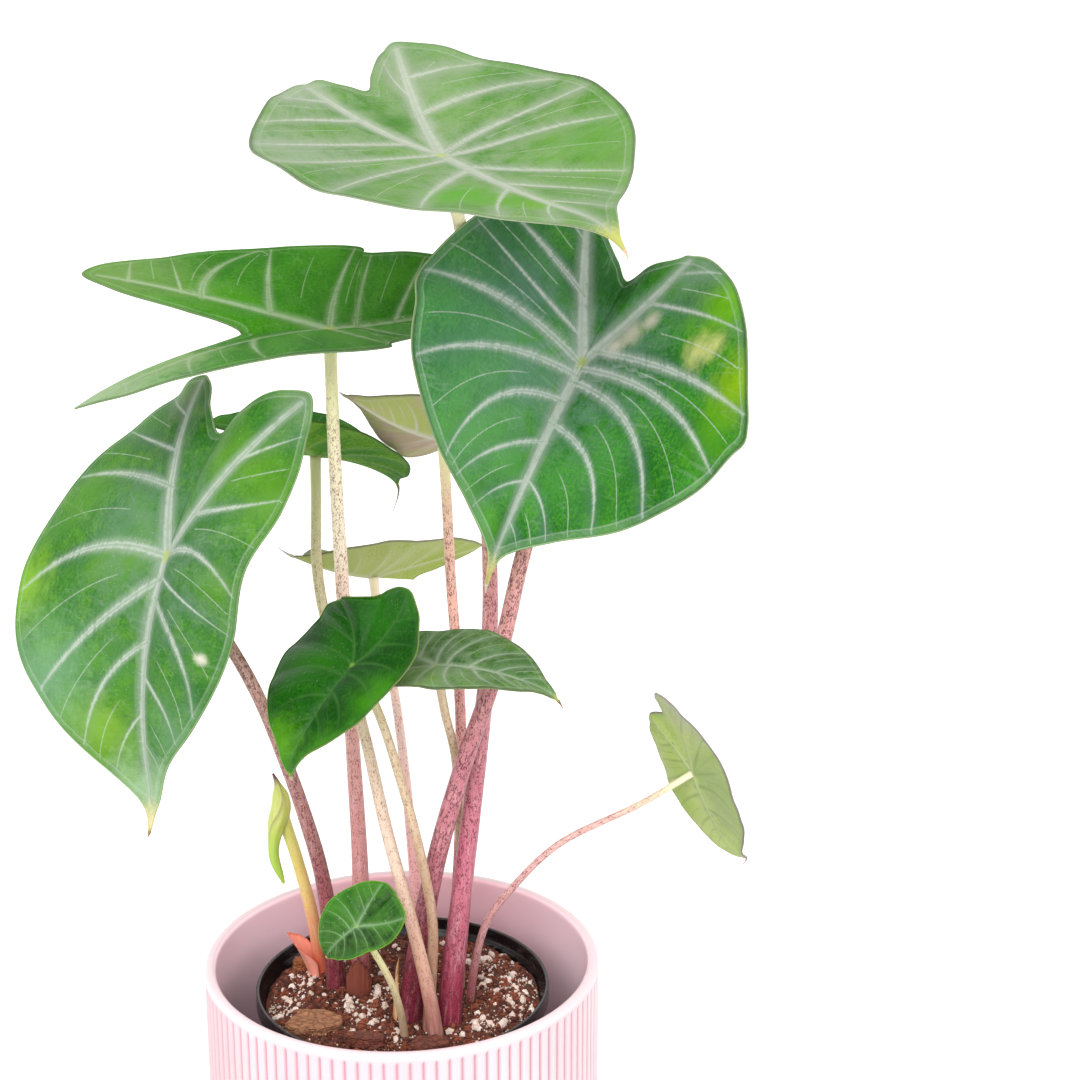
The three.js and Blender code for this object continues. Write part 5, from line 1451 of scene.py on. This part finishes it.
def ball(fine):
    """The points and triangles of a ball: twelve corners, or forty-two when each face is cut in four."""
    g = (1 + 5**0.5) / 2
    points = unit(np.array([
        (-1, g, 0), (1, g, 0), (-1, -g, 0), (1, -g, 0), (0, -1, g), (0, 1, g), (0, -1, -g), (0, 1, -g),
        (g, 0, -1), (g, 0, 1), (-g, 0, -1), (-g, 0, 1)], dtype=float))
    faces = np.array([
        (0, 11, 5), (0, 5, 1), (0, 1, 7), (0, 7, 10), (0, 10, 11), (1, 5, 9), (5, 11, 4), (11, 10, 2),
        (10, 7, 6), (7, 1, 8), (3, 9, 4), (3, 4, 2), (3, 2, 6), (3, 6, 8), (3, 8, 9), (4, 9, 5),
        (2, 4, 11), (6, 2, 10), (8, 6, 7), (9, 8, 1)])
    if not fine:
        return points, faces
    edges = np.sort(np.vstack([faces[:, [0, 1]], faces[:, [1, 2]], faces[:, [2, 0]]]), axis=1)
    pairs, number = np.unique(edges, axis=0, return_inverse=True)
    ab, bc, ca = (number.ravel() + len(points)).reshape(3, -1)
    a, b, c = faces.T
    cut = np.vstack([np.stack(t, axis=1) for t in ((a, ab, ca), (b, bc, ab), (c, ca, bc), (ab, bc, ca))])
    return np.vstack([points, unit(points[pairs].mean(axis=1))]), cut


def scatter_lumps(name, places, sizes, flatness, ragged, sunk, fine, material, smooth):
    """A lump at each place: the ball's points pushed in and out at random, stretched, turned and sunk."""
    points, faces = ball(fine)
    count = len(places)
    bumps = 1 + ragged * rng.uniform(-1, 1, (count, len(points), 1))
    stretch = rng.uniform(1 - flatness, 1 + flatness, (count, 1, 3))
    turns = unit(rng.normal(size=(count, 4)))
    w, x, y, z = turns.T
    turn = np.stack([
        np.stack([1 - 2 * (y * y + z * z), 2 * (x * y - z * w), 2 * (x * z + y * w)], axis=-1),
        np.stack([2 * (x * y + z * w), 1 - 2 * (x * x + z * z), 2 * (y * z - x * w)], axis=-1),
        np.stack([2 * (x * z - y * w), 2 * (y * z + x * w), 1 - 2 * (x * x + y * y)], axis=-1)], axis=-2)
    lumps = np.einsum("nij,npj->npi", turn, points[None] * bumps * stretch) * sizes[:, None, None]
    ground = mix_height(places[:, 0], places[:, 1]) + sizes * sunk
    lumps += np.column_stack([places, ground])[:, None]
    triangles = (faces[None] + np.arange(count)[:, None, None] * len(points)).reshape(-1, 3)
    shade = np.repeat(rng.uniform(0, 1, count), len(points))
    quads = np.zeros((0, 4), dtype=int)
    return piece(name, lumps.reshape(-1, 3), (quads, triangles), material, (), {"shade": shade}, smooth)


STALK_FEET = np.array([foot for _, foot, _ in STALKS.values()], dtype=float)
FOOT_RADII = np.array([radius[0] for _, _, radius in STALKS.values()])


def clear_of_stalks(places, margin):
    """The places that are on the mix and not inside a stalk's foot."""
    gaps = np.linalg.norm(places[:, None] - STALK_FEET[None], axis=2) - FOOT_RADII[None]
    inside = np.hypot(places[:, 0], places[:, 1]) < MIX_RADIUS - 1
    return places[(gaps.min(axis=1) > margin) & inside]


def around(centres, spread, count):
    """Places near the centres, scattered as a bell curve."""
    picks = rng.integers(0, len(centres), count)
    return np.array(centres, dtype=float)[picks] + rng.normal(scale=spread, size=(count, 2))


def anywhere(count):
    """Places spread evenly over the whole mix."""
    radius, angle = MIX_RADIUS * np.sqrt(rng.uniform(0, 1, count)), rng.uniform(0, 2 * np.pi, count)
    return np.stack([radius * np.cos(angle), radius * np.sin(angle)], axis=1)


# %% Finishes of the mix, the perlite and the bark
BARK_LIGHT, PERLITE_LIGHT = 1.15, 1.0  # the light levels on them, inside the pot


def mix_finish():
    f = Finish("red_brown_mix")
    place = f.place()
    fine = f.noise(place, 1500, 5, 0.7)
    lumps = f.noise(place, 380, 4, 0.6)
    color = f.mix(f.fade(lumps, 0.35, 0.65), tone("3f170e", 1.5), tone("803a24", 1.5))
    color = f.laid(color, f.fade(fine, 0.5, 0.72), 0.8, tone("b0623a", 1.5))
    # painted shade: near-black in the hollows, where the fine noise that also gives the bump is lowest
    color = f.laid(color, f.fade(fine, 0.42, 0.3), 0.8, tone("1e0806", 1.3))
    white = f.fade(f.cells(place, 1000), 0.17, 0.1)
    white = f.times(white, f.fade(f.noise(place, 90, 2), 0.5, 0.62))
    color = f.mix(white, color, tone("e9dcd4", 0.9))
    return f.finish(color, f.between(fine, 0.55, 0.95), fine, depth=0.0012, strength=0.9)


def perlite_finish():
    f = Finish("perlite")
    place, shade = f.place(), f.value("shade")
    pits = f.cells(place, 2400)
    dirt = f.noise(place, 700, 4, 0.7)
    color = f.mix(shade, tone("ecdcd2", PERLITE_LIGHT), tone("d4bcae", PERLITE_LIGHT))
    color = f.laid(color, f.fade(dirt, 0.52, 0.75), 0.7, tone("ae7a62", PERLITE_LIGHT))
    return f.finish(color, 0.9, pits, depth=0.0004, strength=0.8, Subsurface_Weight=0.1,
                    Subsurface_Scale=0.0006)


def bark_finish(name, dark, light, fleck):
    f = Finish(name)
    place, shade = f.place(), f.value("shade")
    layers = f.noise(f.scaled(place, (0.5, 1, 2.4)), 900, 5, 0.7)
    cracks = f.cells(f.scaled(place, (0.6, 1, 1)), 420, "DISTANCE_TO_EDGE")
    dark, light, fleck = (tone(code, BARK_LIGHT) for code in (dark, light, fleck))
    color = f.mix(f.fade(f.plus(layers, f.times(shade, 0.35)), 0.4, 0.9), dark, light)
    color = f.laid(color, f.fade(layers, 0.55, 0.75), 0.6, fleck)
    color = f.laid(color, f.fade(cracks, 0.07, 0), 0.55, dark)
    height = f.plus(layers, f.fade(cracks, 0, 0.12))
    return f.finish(color, f.between(layers, 0.6, 0.95), height, depth=0.0006, strength=0.8)


# %% Make the mix
make_mix(mix_finish())
PERLITE_CENTRES = [(-42, -4), (-45, -15), (-38, 12), (-14, -7), (-3, -28), (-9, 2), (-10, -18), (39, 13),
                   (35, 7), (30, 28), (42, -10), (46, 5), (28, -22), (-30, 30)]
perlite_places = clear_of_stalks(np.vstack([around(PERLITE_CENTRES, 4.2, 480), anywhere(170)]), 1.0)
perlite_sizes = 0.3 + 1.2 * rng.uniform(0, 1, len(perlite_places)) ** 3.2
scatter_lumps("perlite_grains", perlite_places, perlite_sizes, 0.28, 0.2, 0.25, True, perlite_finish(),
              False)
dust_places = clear_of_stalks(np.vstack([around(PERLITE_CENTRES, 6, 1100), anywhere(700)]), 0.4)
dust_sizes = rng.uniform(0.12, 0.4, len(dust_places))
scatter_lumps("perlite_dust", dust_places, dust_sizes, 0.3, 0.2, 0.2, False, perlite_finish(),
              False)
crumb_places = clear_of_stalks(anywhere(2800), 0.6)
crumb_sizes = 0.25 + 1.35 * rng.uniform(0, 1, len(crumb_places)) ** 2.6
scatter_lumps("bark_crumbs", crumb_places, crumb_sizes, 0.5, 0.25, 0.2, False,
              bark_finish("bark_crumbs", "3f170f", "96492c", "c88054"), False)

# %% Coir fibres
FIBRES = 300
FIBRE_STEPS = 9


def make_fibres(material):
    """Each fibre is a thin four-sided tube on a parabola that lies just over the mix."""
    starts = clear_of_stalks(anywhere(FIBRES), 1)
    count = len(starts)
    share = np.linspace(-1, 1, FIBRE_STEPS)[None, :, None]
    heading = rng.uniform(0, 2 * np.pi, count)
    along = np.stack([np.cos(heading), np.sin(heading)], axis=1)[:, None]
    across = np.stack([-np.sin(heading), np.cos(heading)], axis=1)[:, None]
    half = rng.uniform(1.5, 5.0, count)[:, None, None]
    bend = rng.uniform(-1.5, 1.5, count)[:, None, None]
    flat = starts[:, None] + along * half * share + across * bend * (share**2 - 0.4)
    flat *= np.minimum(1, (MIX_RADIUS - 0.6) / np.maximum(np.linalg.norm(flat, axis=2, keepdims=True), 1))
    lifted = rng.uniform(0.1, 0.9, count)[:, None] * (1 - share[..., 0] ** 2) + 0.15
    z = mix_height(flat[..., 0], flat[..., 1]) + lifted
    path = np.concatenate([flat, z[..., None]], axis=-1)
    thick = (rng.uniform(0.07, 0.17, count)[:, None] * (1.1 - share[..., 0] ** 2 * 0.7))[..., None]
    sideways = np.concatenate([np.broadcast_to(across, flat.shape), np.zeros(z.shape)[..., None]], axis=-1)
    up = np.zeros(path.shape)
    up[..., 2] = 1
    corners = [path + way * thick for way in (sideways, up, -sideways, -up)]
    ids = np.arange(count * FIBRE_STEPS * 4).reshape(count, FIBRE_STEPS, 4)
    after = np.roll(ids, -1, axis=2)
    quads = np.stack([ids[:, :-1], ids[:, 1:], after[:, 1:], after[:, :-1]], axis=-1).reshape(-1, 4)
    caps = np.vstack([ids[:, 0], ids[:, -1, ::-1]])
    shade = np.repeat(rng.uniform(0, 1, count), FIBRE_STEPS * 4)
    points = np.stack(corners, axis=2).reshape(-1, 3)
    faces = np.vstack([quads, caps]), NO_TRIANGLES
    return piece("coir_fibres", points, faces, material, (), {"shade": shade})


make_fibres(bark_finish("coir_fibres", "5a2a1c", "a86a45", "c08a5e"))

# %% [markdown]
# ## The bark chunks
# Four larger pieces of bark lie on the mix: a flat tan one in front on the left, two red-brown ones and
# an orange one behind. A real chip breaks along its layers, so its sides are stepped and its top is
# nearly flat. Each is a closed shell whose outline is a rounded polygon, with layers pushed in and out
# on the way up and a rough top.

# %% Shape of the chunks
BARK = {  # middle, size, turn, tilt and three colours
    "bark_large": ((-30, -21, 109.5), (21, 14, 3.2), 8, 6, ("7a4a34", "b07a54", "cc9e76")),
    "bark_red": ((-11, -32, 109), (15, 9, 4), -12, -8, ("47201a", "8c4630", "b06a48")),
    "bark_front": ((11, -36, 109), (15, 8, 4), 14, 7, ("421d18", "84422e", "a8623f")),
    "bark_back": ((-38, 22, 109.5), (9, 7, 4.5), 30, -10, ("7a3f22", "a8642f", "c48748")),
}
CHUNK_CORNERS = np.array([
    [-0.5, -0.1], [-0.32, -0.42], [0.1, -0.5], [0.44, -0.28], [0.5, 0.12], [0.22, 0.46], [-0.22, 0.5]])
CHUNK_SIDES, CHUNK_ROWS = 96, 30


def make_chunk(name):
    """A shell by angle and row: up the side in rough layers, then in over the top to the middle."""
    at, size, turn, tilt, colors = BARK[name]
    corners = np.vstack([CHUNK_CORNERS, CHUNK_CORNERS[:1]])
    gaps = np.append(0, np.cumsum(np.linalg.norm(np.diff(corners, axis=0), axis=1)))
    walk = gaps[-1] * np.arange(CHUNK_SIDES) / CHUNK_SIDES
    outline = np.stack([np.interp(walk, gaps, corners[:, k]) for k in (0, 1)], axis=1)
    rows = np.linspace(-1, 1, CHUNK_ROWS)[1:-1]
    inset = (1 - np.abs(rows) ** 6) ** (1 / 3)
    height = np.sign(rows) * np.minimum(np.abs(rows) ** 1.2 * 1.6, 1) * 0.5
    seed = len(name)
    layers = 0.05 * lattice_noise(rows[None, :] * 9 + 40, walk[:, None] * 3 + 40, 1.0, seed)
    ragged = 0.07 * lattice_noise(walk[:, None] * 9 + 9, rows[None, :] * 1.5 + 9, 1.0, seed + 1)
    reach = inset[None, :] * (0.95 + layers + ragged)
    shell = np.stack([
        outline[:, :1] * reach * size[0], outline[:, 1:] * reach * size[1],
        np.broadcast_to(height[None, :] * size[2], reach.shape)], axis=-1)
    rough = 0.3 * lattice_noise(shell[..., 0] + 60, shell[..., 1] + 60, 1.1, seed + 2)
    shell[..., 2] += rough + 0.5 * lattice_noise(shell[..., 0] + 60, shell[..., 1] + 60, 4.0, seed + 3)
    a, b = np.radians([turn, tilt])
    tilted = np.array([[1, 0, 0], [0, np.cos(b), -np.sin(b)], [0, np.sin(b), np.cos(b)]])
    turned_by = np.array([[np.cos(a), -np.sin(a), 0], [np.sin(a), np.cos(a), 0], [0, 0, 1]])
    points = shell @ tilted.T @ turned_by.T + at
    whole, faces = closed_tube(points.transpose(1, 0, 2), points[:, [0, -1]].mean(axis=0))
    return piece(name + "_chip", whole, faces, bark_finish(name, *colors), [name],
                 {"shade": np.full(len(whole), 0.5)})


for name in BARK:
    make_chunk(name)

# %% [markdown]
# ## The floor
# The plant stands on a plain white surface that runs on behind it without an edge. One large flat sheet
# does it; a trace of grain keeps it from being a single flat colour.

# %% Floor
FLOOR_SIZE = 30


def floor_finish():
    f = Finish("white_floor")
    grain = f.noise(f.place(), 40, 3)
    color = f.mix(grain, tone("fbfafa", 1.1), tone("ffffff", 1.1))
    return f.finish(color, 0.85, grain, depth=0.0001, strength=0.1)


floor_mesh = bpy.data.meshes.new("floor")
corners = [(-1, -1), (1, -1), (1, 1), (-1, 1)]
floor_mesh.from_pydata([(x * FLOOR_SIZE, y * FLOOR_SIZE, 0) for x, y in corners], [], [(0, 1, 2, 3)])
floor_mesh.materials.append(floor_finish())
floor = bpy.data.objects.new("floor", floor_mesh)
scene.collection.objects.link(floor)
